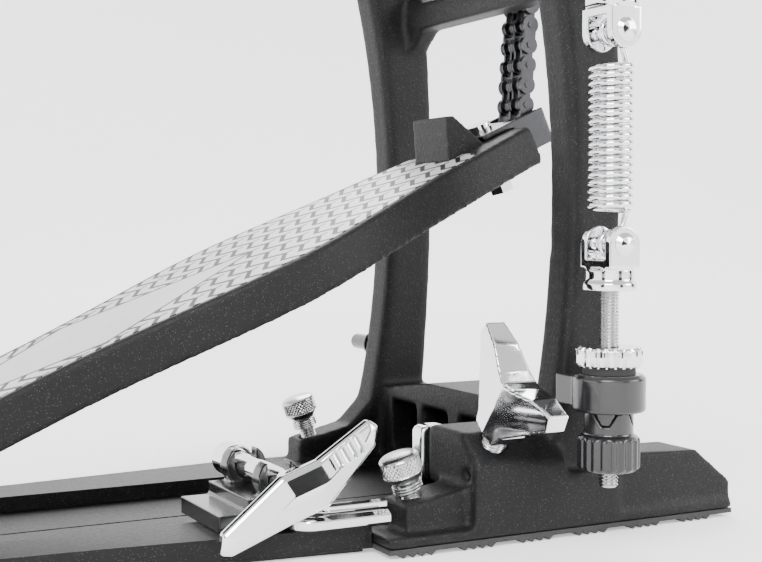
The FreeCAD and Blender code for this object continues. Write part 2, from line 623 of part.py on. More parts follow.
shaft_seat = ("shaft_x", "0", "shaft_z")
shaft_round = turned([("0", "-80"), ("shaft_r - 0.6", "-80"), ("shaft_r", "-79.4"), ("shaft_r", "67.4"),
                      ("shaft_r - 0.6", "68"), ("0", "68")], shaft_seat, AXIS_TURN["y"])
hex_middle = hex_prism(12, -amount("post_in") + 3, -12.2)
hex_other = hex_prism(12, 12.2, amount("post_in") - 3)
shaft_hexes = Part.makeCompound([hex_middle, hex_other])
shaft_hexes.Placement = Placement(shaft_at, AXIS_TURN["y"])
node(fuse(shaft_round, shaped(shaft_hexes)), "drive_shaft")


def bearing(y):
    """One sealed ball bearing, as a ring that the shaft runs in."""
    return turned([("shaft_r + run_gap", "0"), ("bearing_r", "0"), ("bearing_r", "7"), ("shaft_r + run_gap", "7")],
                  ("shaft_x", y, "shaft_z"), AXIS_TURN["y"])


group([bearing("-post_out - boss_lip + 0.4"), bearing("post_out + boss_lip - 7.4")], "shaft_bearings")
node(turned([("0", "0"), ("12.5", "0"), ("12.5", "2.2"), ("11", "3.6"), ("0", "3.6")],
            ("shaft_x", "post_out + boss_lip", "shaft_z"), AXIS_TURN["y"]), "bearing_cover")

lean = math.radians(amount("beater_lean"))
rod_up = Vector(-math.sin(lean), 0, math.cos(lean))
rod_out = Vector(math.cos(lean), 0, math.sin(lean))
rod_line = shaft_at - rod_out * amount("rod_offset")
rod_frame = Placement(rod_line, Rotation(Vector(0, 1, 0), -amount("beater_lean")))


def in_rod_frame(shape):
    """Carry a shape from the beater rod's frame (X forward, Z up the rod) to its place at rest."""
    shape.Placement = rod_frame.multiply(shape.Placement)
    return shape


def across(radius, y_low, y_high, at):
    """A cylinder across the pedal between two Y values."""
    return Part.makeCylinder(radius, y_high - y_low, Vector(at.x, y_low, at.z), Vector(0, 1, 0))


half = amount("wheel_half")
wheel = across(amount("wheel_r"), -half, half, shaft_at)
for y_low in (-4.65, 2.05):
    wheel = wheel.fuse(across(pitch_r - amount("roller_r") - 0.2, y_low, y_low + 2.6, shaft_at))
    for tooth in range(-1, 6):
        angle = (tooth + 0.5) * step
        tip = shaft_at + Vector(math.cos(angle), 0, math.sin(angle)) * (pitch_r - 2.3)
        wheel = wheel.fuse(across(1.3, y_low, y_low + 2.6, tip))
anchor = on_wheel(6)
for y_low in (-9.7, 7.7):
    ear = across(18, y_low, y_low + 2, shaft_at).fuse(across(3.4, y_low, y_low + 2, anchor))
    web = Part.makeBox(6.8, 2, 24, Vector(-3.4, y_low, 0))
    web.rotate(Vector(0, 0, 0), Vector(0, 1, 0), 90 - math.degrees(6 * step))
    web.translate(shaft_at)
    wheel = wheel.fuse([ear, web])
rod_boss = in_rod_frame(Part.makeBox(17, 18, 44, Vector(-8.5, -9, -9)))
rod_boss = rod_boss.makeFillet(2, [e for e in rod_boss.Edges if e.Length > 40])
wheel = wheel.fuse([rod_boss, across(9, -12, 12, shaft_at)])
wheel = wheel.cut(in_rod_frame(Part.makeCylinder(amount("rod_r + run_gap"), 80, Vector(0, 0, -30))))
wheel = wheel.cut(across(amount("shaft_r"), -20, 20, shaft_at))
wheel = wheel.cut(across(1.2, -12, 12, anchor))
grub_angle = math.radians(290)
grub_way = Vector(math.cos(grub_angle), 0, math.sin(grub_angle))
grub = Part.makeCylinder(2.5, 13.5, shaft_at + grub_way * 5.5, grub_way)
wheel = wheel.cut(Part.makeCylinder(2.5, 30, shaft_at + grub_way * 3, grub_way))
wheel = wheel.cut(in_rod_frame(Part.makeCylinder(3, 20, Vector(0, 0, 25), Vector(0, -1, 0))))
shape_node(wheel.removeSplitter(), "chain_wheel")
shape_node(grub, "wheel_grub_screw")
shape_node(across(1.15, -9.9, 10.5, anchor).fuse(across(2.6, 9.8, 12, anchor)), "chain_anchor_pin")
rod_screw_head = Part.makeBox(7, 8, 7, Vector(-3.5, -24, 21.5))
rod_screw = Part.makeCylinder(3, 11.2, Vector(0, -4.9, 25), Vector(0, -1, 0)).fuse(rod_screw_head)
shape_node(in_rod_frame(rod_screw), "rod_screw")

# ------------------------------------------------------------------ beater

rod_low, rod_high = -amount("rod_below"), amount("rod_above")
rod = Part.makeCylinder(amount("rod_r"), rod_high - rod_low, Vector(0, 0, rod_low))
rod = rod.makeChamfer(0.8, [e for e in rod.Edges if e.Length < 40])
shape_node(in_rod_frame(rod), "beater_rod")
head_at = rod_high - 14
core = Part.makeCylinder(16, 30, Vector(-24, 0, head_at), Vector(1, 0, 0))
core = core.makeFillet(3, [e for e in core.Edges if e.BoundBox.XMax < -20])
core = core.cut(Part.makeCylinder(amount("rod_r"), 60, Vector(0, 0, rod_high - 60)))
shape_node(in_rod_frame(core), "beater_core")
felt = Part.makeCylinder(26, 24, Vector(6, 0, head_at), Vector(1, 0, 0))
felt = felt.makeFillet(6, [e for e in felt.Edges if e.BoundBox.XLength < 0.1])
shape_node(in_rod_frame(felt), "beater_felt")

# ------------------------------------------------------------------ rocker

spring_y = amount("spring_y")
rocker_end = Vector(0, 0, amount("shaft_z - rocker_r"))
rocker = across(11, -80, -71, shaft_at).fuse([
    across(6.5, -79.5, -74.5, rocker_end),
    Part.makeBox(11, 5, amount("rocker_r"), Vector(-5, -79.5, rocker_end.z)),
])
rocker = rocker.cut(across(amount("shaft_r"), -90, -60, shaft_at)).cut(across(3, -90, -60, rocker_end))
clamp_hole = Part.makeCylinder(2.5, 20, Vector(shaft_at.x, -75.5, shaft_at.z + 3))
shape_node(rocker.cut(clamp_hole).removeSplitter(), "rocker_arm")
rocker_pin = across(3, -91, -74.5, rocker_end).fuse(across(5, -93, -91, rocker_end))
shape_node(rocker_pin, "rocker_pin")
rocker_screw = Part.makeCylinder(2.5, 9, Vector(shaft_at.x, -75.5, shaft_at.z + 5.1))
rocker_screw = rocker_screw.fuse(Part.makeCylinder(4, 3.5, Vector(shaft_at.x, -75.5, shaft_at.z + 11.1)))
shape_node(rocker_screw, "rocker_screw")

# ------------------------------------------------------------------ spring column

column = ("0", "spring_y", "0")


def clevis(pin_z, cap_z, way):
    """The two ears and the cap of a spring clevis; way is +1 where the cap is above the pin."""
    low, high = (pin_z, cap_z) if way > 0 else (cap_z, pin_z)
    block = box(("-5.5", "spring_y - clevis_half", low), ("5.5", "spring_y + clevis_half", high))
    ends = cylinder("5.5", "2 * clevis_half", ("0", "spring_y - clevis_half", pin_z), "y")
    if way > 0:
        gap = box(("-9", "spring_y - 4.7", f"{pin_z} - 9"), ("9", "spring_y + 4.7", f"{cap_z} - 2.5"))
    else:
        gap = box(("-9", "spring_y - 4.7", f"{cap_z} + 2.5"), ("9", "spring_y + 4.7", f"{pin_z} + 9"))
    bore = cylinder("clevis_pin_r", "2 * clevis_half + 2", ("0", "spring_y - clevis_half - 1", pin_z), "y")
    return cut(fuse(block, ends), gap, bore)


upper_flange = turned([("0", "161"), ("flange_r - 0.8", "161"), ("flange_r", "161.6"), ("flange_r", "163.8"),
                       ("flange_r - 0.8", "164.5"), ("4.2", "164.5"), ("4.2", "168"), ("0", "168")], column)
eye_z = "shaft_z - rocker_r"
eye = cylinder("8", "7.8", ("0", "-88", eye_z), "y")
eye_hole = cylinder("5.2", "10", ("0", "-89", eye_z), "y")
node(fuse(clevis("high_pin_z", "161", 1), cut(fuse(upper_flange, eye), eye_hole)), "upper_clevis")

lower_cap = turned([("0", "77"), ("flange_r", "77"), ("flange_r", "79"), ("clevis_half", "80.2"),
                    ("clevis_half", "83"), ("6.4", "83.6"), ("0", "83.6")], column)
node(fuse(clevis("low_pin_z", "83.6", -1), lower_cap), "lower_clevis")


def rivet(z):
    """A clevis pin with a low domed head at each end, across the pedal."""
    shank = "clevis_half + 0.1"
    profile = [("0", f"-({shank} + 1.5)"), ("2.2", f"-({shank} + 1.1)"), ("3.5", f"-({shank})"),
               ("clevis_pin_r", f"-({shank})"), ("clevis_pin_r", shank), ("3.5", shank),
               ("2.2", f"{shank} + 1.1"), ("0", f"{shank} + 1.5")]
    return turned(profile, ("0", "spring_y", z), AXIS_TURN["y"])


node(rivet("high_pin_z"), "upper_pin")
node(rivet("low_pin_z"), "lower_pin")


def coil(mean_r, wire_r, low, high, turns):
    """A round wire wound up a straight axis."""
    helix = Part.makeHelix((high - low) / turns, high - low, mean_r)
    ring = Part.Wire(Part.makeCircle(wire_r, Vector(mean_r, 0, 0), Vector(0, 1, 0)))
    solid = Part.Wire(helix.Edges).makePipeShell([ring], True, True)
    solid.translate(Vector(0, 0, low))
    return solid


mean_r, wire_r = amount("spring_mean_r"), amount("wire_r")
coil_low, coil_top = amount("coil_low"), amount("coil_top")
hook_r = amount("clevis_pin_r") + wire_r + 0.25
spring_parts = [coil(mean_r, wire_r, coil_low, coil_top, amount("coil_count"))]
for pin_z, end_z in ((amount("low_pin_z"), coil_low), (amount("high_pin_z"), coil_top)):
    loop = Part.makeTorus(hook_r, wire_r, Vector(0, 0, pin_z), Vector(0, 1, 0))
    start, end = Vector(hook_r, 0, pin_z), Vector(mean_r, 0, end_z)
    stem = Part.makeCylinder(wire_r * 0.9, (end - start).Length, start, end - start)
    spring_parts += [loop, stem, Part.makeSphere(wire_r * 1.05, end)]
spring = spring_parts[0].fuse(spring_parts[1:])
spring.translate(Vector(0, spring_y, 0))
shape_node(spring, "spring")

node(turned([("0", "rod_low"), ("thread_r - 0.8", "rod_low"), ("thread_r", "rod_low + 0.8"), ("thread_r", "77"),
             ("0", "77")], column), "spring_rod")


def fluted(radius, low, high, flutes, flute_r, bevel, foot=()):
    """A hand nut on the spring rod: bevelled, with flutes round its rim."""
    profile = [("thread_r + run_gap", low), (f"{radius} - {bevel}", low), (radius, f"{low} + {bevel}"),
               (radius, f"{high} - {bevel}"), (f"{radius} - {bevel}", high), *foot]
    profile.append(("thread_r + run_gap", foot[-1][1] if foot else high))
    blank = turned(profile, column)
    tools = []
    for flute in range(flutes):
        angle = 360 * flute / flutes
        spot = (f"({radius} + {flute_r} * 0.45) * cos({angle})",
                f"spring_y + ({radius} + {flute_r} * 0.45) * sin({angle})", f"{low} - 1")
        tools.append(cylinder(flute_r, f"{high} - {low} + 2", spot))
    return cut(blank, *tools)


node(fluted("nut_r", "54", "60", 22, 0.9, 0.8), "tension_nut")
node(turned([("thread_r + run_gap", "52"), ("8", "52"), ("8", "53.9"), ("thread_r + run_gap", "53.9")], column),
     "nut_washer")


def crown(width_low, width_high, low, high):
    """Four tapered teeth in a ring, as two crossed prisms."""
    half_low, half_high = width_low / 2, width_high / 2
    along_x = prism([(f"spring_y - {half_low}", low), (f"spring_y - {half_high}", high),
                     (f"spring_y + {half_high}", high), (f"spring_y + {half_low}", low)], "yz", "-12", "12")
    along_y = prism([(f"-{half_low}", low), (f"-{half_high}", high), (f"{half_high}", high),
                     (f"{half_low}", low)], "xz", "spring_y - 12", "spring_y + 12")
    return fuse(along_x, along_y)


ring_profile = [("thread_r + run_gap", "36.5"), ("neck_r", "36.5"), ("neck_r", "housing_low"),
                ("thread_r + run_gap", "housing_low")]
lock_crown = doc.addObject("Part::Common", "lock_crown")
lock_crown.Base = turned(ring_profile, column)
lock_crown.Tool = crown(8.6, 3.6, "36.4", "housing_low - 0.1")
lock_neck = [("neck_r", "33.5"), ("neck_r", "36.5")]
node(fuse(fluted("lock_r", "22.7", "33.5", 20, 1.1, 1.2, lock_neck), lock_crown), "lock_nut")

housing = turned([("thread_r + run_gap", "housing_low"), ("housing_r - 0.6", "housing_low"),
                  ("housing_r", "housing_low + 0.6"), ("housing_r", "housing_top - 1.2"),
                  ("housing_r - 1.2", "housing_top"), ("thread_r + run_gap", "housing_top")], column)
housing_ring = cut(turned([("thread_r + run_gap", "36.8"), ("neck_r", "36.8"), ("neck_r", "housing_low + 1"),
                           ("thread_r + run_gap", "housing_low + 1")], column),
                   crown(9.4, 4.6, "36.2", "housing_low"))
arm = box(("-8", "spring_y + 4", "housing_low + 0.8"), ("6.5", "-post_out", "housing_top - 1.2"))
rod_way = cylinder("thread_r + run_gap", "30", ("0", "spring_y", "30"))
node(cut(fuse(housing, housing_ring, arm), rod_way), "spring_bracket")

node(turned([("0", "0"), ("3.05", "0"), ("3.05", "8"), ("4.6", "8.05"), ("4.6", "10"), ("3.1", "11"), ("3.1", "23"),
             ("2", "25"), ("0", "25")], ("-1.5", "post_out - 8", "48.7"), AXIS_TURN["y"]), "blanking_plug")

# ------------------------------------------------------------------ hoop clamp

wing_half = [(5.5, 8), (7, 12), (14, 20), (22, 29), (21, 34), (12, 32.5), (4, 29)]
wing_profile = wing_half + [(0, 28)] + [(-across_y, up) for across_y, up in reversed(wing_half)]
wing_corners = [Vector(-6, across_y, up) for across_y, up in wing_profile]
wing = Part.Face(Part.makePolygon(wing_corners + wing_corners[:1])).extrude(Vector(12, 0, 0))
wing_plan = [Vector(6, 0, 0), Vector(3, 22.5, 0), Vector(-3, 22.5, 0), Vector(-6, 0, 0), Vector(-3, -22.5, 0),
             Vector(3, -22.5, 0)]
wing = wing.common(Part.Face(Part.makePolygon(wing_plan + wing_plan[:1])).extrude(Vector(0, 0, 40)))
wing = wing.fuse([Part.makeCylinder(amount("bolt_r"), 26, Vector(0, 0, -15)),
                  Part.makeCylinder(5.6, 12, Vector(0, 0, 8))])
bolt_seat = Vector(amount("bolt_x"), amount("bolt_y"), amount("bolt_z"))
wing.Placement = Placement(bolt_seat, bolt_turn)
shape_node(wing.removeSplitter(), "wing_bolt")

lever_arm = box(("-41", "-41.6", "10"), ("30", "-34", "20"))
lever_tail = fillet(box(("-41", "-41.6", "16"), ("-30", "-35", "33")), "3",
                    lambda e: e.BoundBox.ZMin > 32 and e.BoundBox.XLength < 1)
lever_pad = box(("-37", "-60", "9.4"), ("-21", "-41", "12.6"))
lever_bar = box(("26", "-41.6", "5"), ("36", "18", "13"))
lever_joint = box(("26", "-41.6", "5"), ("36", "-34", "20"))
lever_tongue = box(("30", "-18", "4.2"), ("58", "18", "8.5"))
lever_bore = cylinder("lever_pin_r + run_gap", "12", ("lever_x", "-44", "lever_z"), "y")
node(cut(fuse(lever_arm, lever_tail, lever_pad, lever_bar, lever_joint, lever_tongue), lever_bore), "clamp_lever")
node(cylinder("lever_pin_r", "24", ("lever_x", "-50.5", "lever_z"), "y"), "lever_pin")
node(box(("40", "-17", "8.5"), ("57", "17", "11")), "lower_jaw_pad")
node(box(("38", "-17", "jaw_low - jaw_pad"), ("57", "17", "jaw_low")), "upper_jaw_pad")

# ------------------------------------------------------------------ spurs


def spur(side):
    """A pointed screw with a knurled head, through a side foot."""
    lift = 0 if side < 0 else 2.5
    profile = [("0", f"0.6 + {lift}"), ("spur_r", f"4.5 + {lift}"), ("spur_r", f"21 + {lift}"),
               ("4.3", f"21 + {lift}"), ("6.2", f"23.5 + {lift}"), ("6.2", f"28.5 + {lift}"),
               ("5", f"29.6 + {lift}"), ("0", f"30 + {lift}")]
    return turned(profile, along_spur(side, "0"), tilt_back("spur_tilt"))


def spur_spring(side):
    """The light coil that keeps a spur screw from turning by itself."""
    low, high = (17.7, 20.6) if side < 0 else (19.9, 22.9)
    mean_r, turns, per_turn = 4.4, 4, 12
    angles = [2 * math.pi * step / per_turn for step in range(turns * per_turn + 1)]
    points = [Vector(mean_r * math.cos(a), mean_r * math.sin(a), low + (high - low) * a / angles[-1])
              for a in angles]
    curve = Part.BSplineCurve()
    curve.interpolate(points)
    ring = Part.Wire(Part.makeCircle(0.3, points[0], curve.tangent(curve.FirstParameter)[0]))
    solid = Part.Wire(curve.toShape()).makePipeShell([ring], True, True)
    place = Placement(Vector(*(amount(v) for v in along_spur(side, "0"))), tilt_back("spur_tilt"))
    solid.Placement = place.multiply(solid.Placement)
    return solid


node(spur(-1), "spur_right")
node(spur(1), "spur_left")
shape_node(spur_spring(-1), "spur_spring_right")
shape_node(spur_spring(1), "spur_spring_left")

# ------------------------------------------------------------------ tools kept on the base plate

clip_low, clip_high = "-50", "-17"
clip_block = box(("-112", clip_low, "plate_rail"), ("-79", clip_high, "17"))
clip_rings = [cylinder("6.6", "6", ("key_x", y, "key_z"), "y") for y in ("-24", "-50")]
clip_webs = [box(("key_x - 5", y, "15"), ("key_x + 5", f"{y} + 6", "key_z")) for y in ("-24", "-50")]
clip_steps = box(("-113", "-51", "13"), ("-103", "-16", "18"))
key_way = cylinder("key_shaft_r + run_gap", "60", ("key_x", "-60", "key_z"), "y")
key_mouth = box(("key_x - key_shaft_r - run_gap", "-60", "key_z"),
                ("key_x + key_shaft_r + run_gap", "-10", "key_z + 8"))
hex_ways = [cylinder("hex_small_r + run_gap", "60", ("hex_small_x", "-60", "hex_small_z"), "y"),
            cylinder("hex_large_r + run_gap", "60", ("hex_large_x", "-60", "hex_large_z"), "y")]
node(cut(fuse(clip_block, *clip_rings, *clip_webs), clip_steps, key_way, key_mouth, *hex_ways), "tool_clip")

key_shaft = cylinder("key_shaft_r", "key_rear - key_front", ("key_x", "key_front", "key_z"), "y")
key_socket = cylinder("5.4", "9", ("key_x", "key_rear", "key_z"), "y")
key_square = box(("key_x - 2.7", "key_rear + 2", "key_z - 2.7"), ("key_x + 2.7", "key_rear + 10", "key_z + 2.7"))
wing_tilt = Rotation(Vector(0, 1, 0), -24)
key_outline = [(-29, -5), (-26, -7), (-8, -8), (6, -9), (26, 0), (29, 5), (27, 8), (8, 5), (-4, 6), (-26, 0)]
key_corners = [Vector(x, 0, z) for x, z in key_outline]
key_wing = Part.Face(Part.makePolygon(key_corners + key_corners[:1])).extrude(Vector(0, 6, 0))
key_wing = key_wing.makeFillet(1.2, key_wing.Edges)
key_wing.Placement = Placement(Vector(amount("key_x"), amount("key_front - 6"), amount("key_z")), wing_tilt)
key_neck = turned([("0", "-1"), ("6.2", "-1"), ("key_shaft_r", "7.5"), ("0", "7.5")],
                  ("key_x", "key_front", "key_z"), AXIS_TURN["y"])
node(cut(fuse(key_shaft, key_socket, key_neck, shaped(key_wing)), key_square), "drum_key")


def hex_key(label, x, z, radius, y_front, leg_end):
    """An L-shaped key: its long leg in the clip and its short leg towards the drum."""
    x, z, radius = amount(x), amount(z), amount(radius)
    bend = 5
    rear = Vector(x, -20, z)
    before = Vector(x, y_front + bend, z)
    after = Vector(x + bend, y_front, z)
    tip = Vector(leg_end, y_front, z)
    middle = Vector(x + bend * (1 - math.sqrt(0.5)), y_front + bend * (1 - math.sqrt(0.5)), z)
    path = Part.Wire([Part.makeLine(rear, before), Part.Arc(before, middle, after).toShape(),
                      Part.makeLine(after, tip)])
    section = Part.Wire(Part.makeCircle(radius, rear, Vector(0, 1, 0)))
    shape_node(path.makePipeShell([section], True, True), label)


hex_key("hex_key_small", "hex_small_x", "hex_small_z", "hex_small_r", -59, -63)
hex_key("hex_key_large", "hex_large_x", "hex_large_z", "hex_large_r", -63.5, -64.5)

# ------------------------------------------------------------------ check and write

doc.recompute()
for item in doc.Objects:
    if "Invalid" in item.State or "Error" in item.State:
        raise RuntimeError(f"{item.Name} ({item.Label}) failed: {item.State}")
os.makedirs("parts", exist_ok=True)
for item in NODES:
    shape = item.Shape
    if shape.isNull() or not shape.isValid() or shape.Volume <= 0:
        raise RuntimeError(f"{item.Label} has no valid solid")
    shape.exportStep(os.path.join("parts", item.Label + ".step"))
print(f"{len(NODES)} sub-parts written")
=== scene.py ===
"""A bass drum pedal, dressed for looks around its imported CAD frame.

Every piece is in metres in the row's own frame: +X points at the drum, +Y to the player's left and +Z up.
"""

import json
import logging
import math
from dataclasses import dataclass, field
from enum import Enum

import bmesh
import bpy
import numpy as np
from mathutils import Matrix, Vector

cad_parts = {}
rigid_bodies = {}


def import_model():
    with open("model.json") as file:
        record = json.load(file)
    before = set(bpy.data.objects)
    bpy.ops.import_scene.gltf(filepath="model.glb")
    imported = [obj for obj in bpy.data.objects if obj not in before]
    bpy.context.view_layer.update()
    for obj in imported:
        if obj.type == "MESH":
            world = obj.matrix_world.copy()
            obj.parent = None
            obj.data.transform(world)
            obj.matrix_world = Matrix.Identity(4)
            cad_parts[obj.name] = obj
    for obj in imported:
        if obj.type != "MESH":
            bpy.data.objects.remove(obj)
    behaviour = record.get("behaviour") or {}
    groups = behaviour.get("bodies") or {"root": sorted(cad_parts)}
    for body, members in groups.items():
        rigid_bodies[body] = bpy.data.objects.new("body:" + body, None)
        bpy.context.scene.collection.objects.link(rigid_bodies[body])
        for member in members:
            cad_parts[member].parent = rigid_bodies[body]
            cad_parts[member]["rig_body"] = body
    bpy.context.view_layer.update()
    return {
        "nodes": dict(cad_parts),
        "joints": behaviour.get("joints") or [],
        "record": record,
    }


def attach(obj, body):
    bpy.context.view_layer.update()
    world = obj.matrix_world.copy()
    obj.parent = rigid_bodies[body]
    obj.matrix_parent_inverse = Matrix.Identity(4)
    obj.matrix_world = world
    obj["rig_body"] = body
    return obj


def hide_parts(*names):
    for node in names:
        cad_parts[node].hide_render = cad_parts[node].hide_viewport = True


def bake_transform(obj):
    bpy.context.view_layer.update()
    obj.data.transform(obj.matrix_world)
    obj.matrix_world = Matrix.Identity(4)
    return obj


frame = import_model()

LOG = logging.getLogger("bass drum pedal")
MM = 0.001
MERGE_DISTANCE = 1e-7

Colour = tuple[float, float, float]
Mesh = tuple[np.ndarray, list]


def rgba(colour: Colour) -> tuple[float, float, float, float]:
    """An opaque colour for a shader socket."""
    return (*colour, 1.0)


def blank_material(name: str) -> tuple:
    """Start a material with an empty node tree.

    Args:
        name: the material's name.

    Returns:
        The material, what makes a labelled node of one kind, and what links an output to an input.
    """
    made = bpy.data.materials.new(name)
    made.use_nodes = True
    tree = made.node_tree
    tree.nodes.clear()

    def new(kind: str, label: str, at: tuple[float, float] = (0.0, 0.0), **settings: str) -> bpy.types.Node:
        """A node of one kind with its label, its place and its settings."""
        item = tree.nodes.new(kind)
        item.label = label
        item.location = at
        for setting, value in settings.items():
            setattr(item, setting, value)
        return item

    def link(giver: bpy.types.Node, output: str, taker: bpy.types.Node, socket: str | int) -> None:
        """Carry one node's output to another node's input."""
        tree.links.new(giver.outputs[output], taker.inputs[socket])

    return made, new, link


def settle(item: bpy.types.Node, values: dict) -> None:
    """Set a node's sockets, each found by its name or number."""
    for socket, value in values.items():
        item.inputs[socket].default_value = value


def framed(label: str, items: tuple) -> None:
    """Put a labelled frame round some nodes of one tree."""
    surround = items[0].id_data.nodes.new("NodeFrame")
    surround.label = label
    for item in items:
        item.parent = surround


def laid_out(nodes: list, left: float, top: float, step: float = 230.0) -> None:
    """Set nodes side by side in the node editor.

    Args:
        nodes: shader nodes from left to right.
        left: place of the first node.
        top: height of the row.
        step: distance from one node to the next.
    """
    for index, item in enumerate(nodes):
        item.location = (left + index * step, top)


# ---------------------------------------------------------------- finishes

@dataclass(frozen=True)
class PowderCoat:
    """Textured black powder coat with real metal flakes whose sparkle is painted in as bright specks: a
    painted glint.
    """

    name: str
    base: Colour = (0.0035, 0.0035, 0.0038)
    worn: Colour = (0.009, 0.009, 0.0095)
    # colour of the flakes, painted bright to stand in for their glint: a painted glint
    fleck_glint: Colour = (0.11, 0.11, 0.115)
    flecks_per_metre: float = 3000.0
    grain_per_metre: float = 900.0
    roughness: tuple[float, float] = (0.42, 0.62)
    grain_height: float = 0.00022

    def material(self) -> bpy.types.Material:
        """Build the coat: base with wear, flakes painted as bright specks for their glint, and an orange-peel
        grain.

        Returns:
            The finished material.
        """
        made, new, link = blank_material(self.name)

        place = new("ShaderNodeTexCoord", "where on the casting", (-1300, 0))
        shade = new("ShaderNodeBsdfPrincipled", "powder coat", (300, 100))
        out = new("ShaderNodeOutputMaterial", "coated surface", (620, 100))

        handled = new("ShaderNodeTexNoise", "handled and dusty areas")
        worn_mix = new("ShaderNodeMix", "coat dulled by handling", data_type="RGBA")
        # metal flakes: the flakes are real, but their bright specks in the colour are a painted glint
        flecks = new("ShaderNodeTexVoronoi", "metal flecks")
        fleck_size = new("ShaderNodeMapRange", "only the heart of a cell")
        chosen = new("ShaderNodeMapRange", "only some of the cells")
        flake_glint_mask = new("ShaderNodeMath", "bright flecks", operation="MULTIPLY")
        flakes_with_painted_glint = new("ShaderNodeMix", "flecks in the coat", data_type="RGBA")
        split = new("ShaderNodeSeparateColor", "a number for each cell")
        laid_out([handled, worn_mix], -1050, 420)
        laid_out([flecks, fleck_size, flake_glint_mask, flakes_with_painted_glint], -1050, 160)
        laid_out([split, chosen], -820, -60)
        framed("coat colour and sparkle",
               (handled, worn_mix, flecks, fleck_size, chosen, flake_glint_mask, flakes_with_painted_glint, split))

        grain = new("ShaderNodeTexNoise", "grain of the coat")
        dull = new("ShaderNodeMapRange", "uneven sheen")
        peel = new("ShaderNodeBump", "orange peel")
        laid_out([grain, dull, peel], -820, -320)
        framed("orange-peel grain", (grain, dull, peel))

        settle(handled, {"Scale": 28.0, "Detail": 4.0})
        settle(worn_mix, {"A": rgba(self.base), "B": rgba(self.worn)})
        flecks.inputs["Scale"].default_value = self.flecks_per_metre
        settle(fleck_size, {"From Min": 0.42, "From Max": 0.12})
        settle(chosen, {"From Min": 0.80, "From Max": 0.98})
        flakes_with_painted_glint.inputs["B"].default_value = rgba(self.fleck_glint)
        settle(grain, {"Scale": self.grain_per_metre, "Detail": 2.0})
        settle(dull, {"To Min": self.roughness[0], "To Max": self.roughness[1]})
        settle(peel, {"Strength": 0.7, "Distance": self.grain_height})
        shade.inputs["Specular IOR Level"].default_value = 0.2

        link(place, "Object", handled, "Vector")
        link(place, "Object", flecks, "Vector")
        link(place, "Object", grain, "Vector")
        link(handled, "Fac", worn_mix, "Factor")
        link(flecks, "Distance", fleck_size, "Value")
        link(flecks, "Color", split, "Color")
        link(split, "Red", chosen, "Value")
        link(fleck_size, "Result", flake_glint_mask, 0)
        link(chosen, "Result", flake_glint_mask, 1)
        link(flake_glint_mask, "Value", flakes_with_painted_glint, "Factor")
        link(worn_mix, "Result", flakes_with_painted_glint, "A")
        link(flakes_with_painted_glint, "Result", shade, "Base Color")
        link(grain, "Fac", dull, "Value")
        link(dull, "Result", shade, "Roughness")
        link(grain, "Fac", peel, "Height")
        link(peel, "Normal", shade, "Normal")
        link(shade, "BSDF", out, "Surface")
        return made


@dataclass(frozen=True)
class BareMetal:
    """Plated, polished or oiled metal with faint smears and fine scratches."""

    name: str
    bright: Colour
    dull: Colour
    roughness: tuple[float, float]
    scratch_height: float = 0.000006
    scratch_scale: tuple[float, float, float] = (1.0, 1.0, 0.12)
    # colour of the painted shade laid into hollows and grooves
    hollow: Colour = (0.10, 0.10, 0.10)

    def material(self) -> bpy.types.Material:
        """Build the metal: two tints smeared together, uneven gloss, scratches and painted shade in hollows.

        Returns:
            The finished material. A surface with an attribute named hollow gets painted shade, darkest where
            that is 1.
        """
        made, new, link = blank_material(self.name)

        place = new("ShaderNodeTexCoord", "where on the metal", (-1300, 0))
        shade = new("ShaderNodeBsdfPrincipled", "metal", (300, 100))
        out = new("ShaderNodeOutputMaterial", "metal surface", (620, 100))

        smear = new("ShaderNodeTexNoise", "smears of polish")
        tint = new("ShaderNodeMix", "tint of the plating", data_type="RGBA")
        # painted shade: the hollow attribute darkens the colour towards the painted shade colour
        hollow_shade_depth = new("ShaderNodeAttribute", "how deep in a hollow")
        painted_hollow_shade = new("ShaderNodeMix", "dark floor of a hollow", data_type="RGBA")
        laid_out([smear, tint, painted_hollow_shade], -1050, 360)
        hollow_shade_depth.location = (-820, 600)
        framed("tint of the plating", (smear, tint, hollow_shade_depth, painted_hollow_shade))

        brushed = new("ShaderNodeMapping", "drawn out along Z")
        scratch = new("ShaderNodeTexNoise", "fine scratches")
        gloss = new("ShaderNodeMapRange", "uneven gloss")
        dent = new("ShaderNodeBump", "scratch depth")
        laid_out([brushed, scratch, gloss, dent], -1050, -160)
        framed("gloss and fine scratches", (brushed, scratch, gloss, dent))

        settle(smear, {"Scale": 60.0, "Detail": 3.0})
        settle(tint, {"A": rgba(self.bright), "B": rgba(self.dull)})
        hollow_shade_depth.attribute_name = "hollow"
        painted_hollow_shade.inputs["B"].default_value = rgba(self.hollow)
        brushed.inputs["Scale"].default_value = self.scratch_scale
        settle(scratch, {"Scale": 1400.0, "Detail": 3.0})
        settle(gloss, {"From Min": 0.3, "From Max": 0.7, "To Min": self.roughness[0],
                       "To Max": self.roughness[1]})
        settle(dent, {"Strength": 0.35, "Distance": self.scratch_height})
        shade.inputs["Metallic"].default_value = 1.0

        link(place, "Object", smear, "Vector")
        link(place, "Object", brushed, "Vector")
        link(brushed, "Vector", scratch, "Vector")
        link(smear, "Fac", tint, "Factor")
        link(tint, "Result", painted_hollow_shade, "A")
        link(hollow_shade_depth, "Fac", painted_hollow_shade, "Factor")
        link(painted_hollow_shade, "Result", shade, "Base Color")
        link(smear, "Fac", gloss, "Value")
        link(gloss, "Result", shade, "Roughness")
        link(scratch, "Fac", dent, "Height")
        link(dent, "Normal", shade, "Normal")
        link(shade, "BSDF", out, "Surface")
        return made


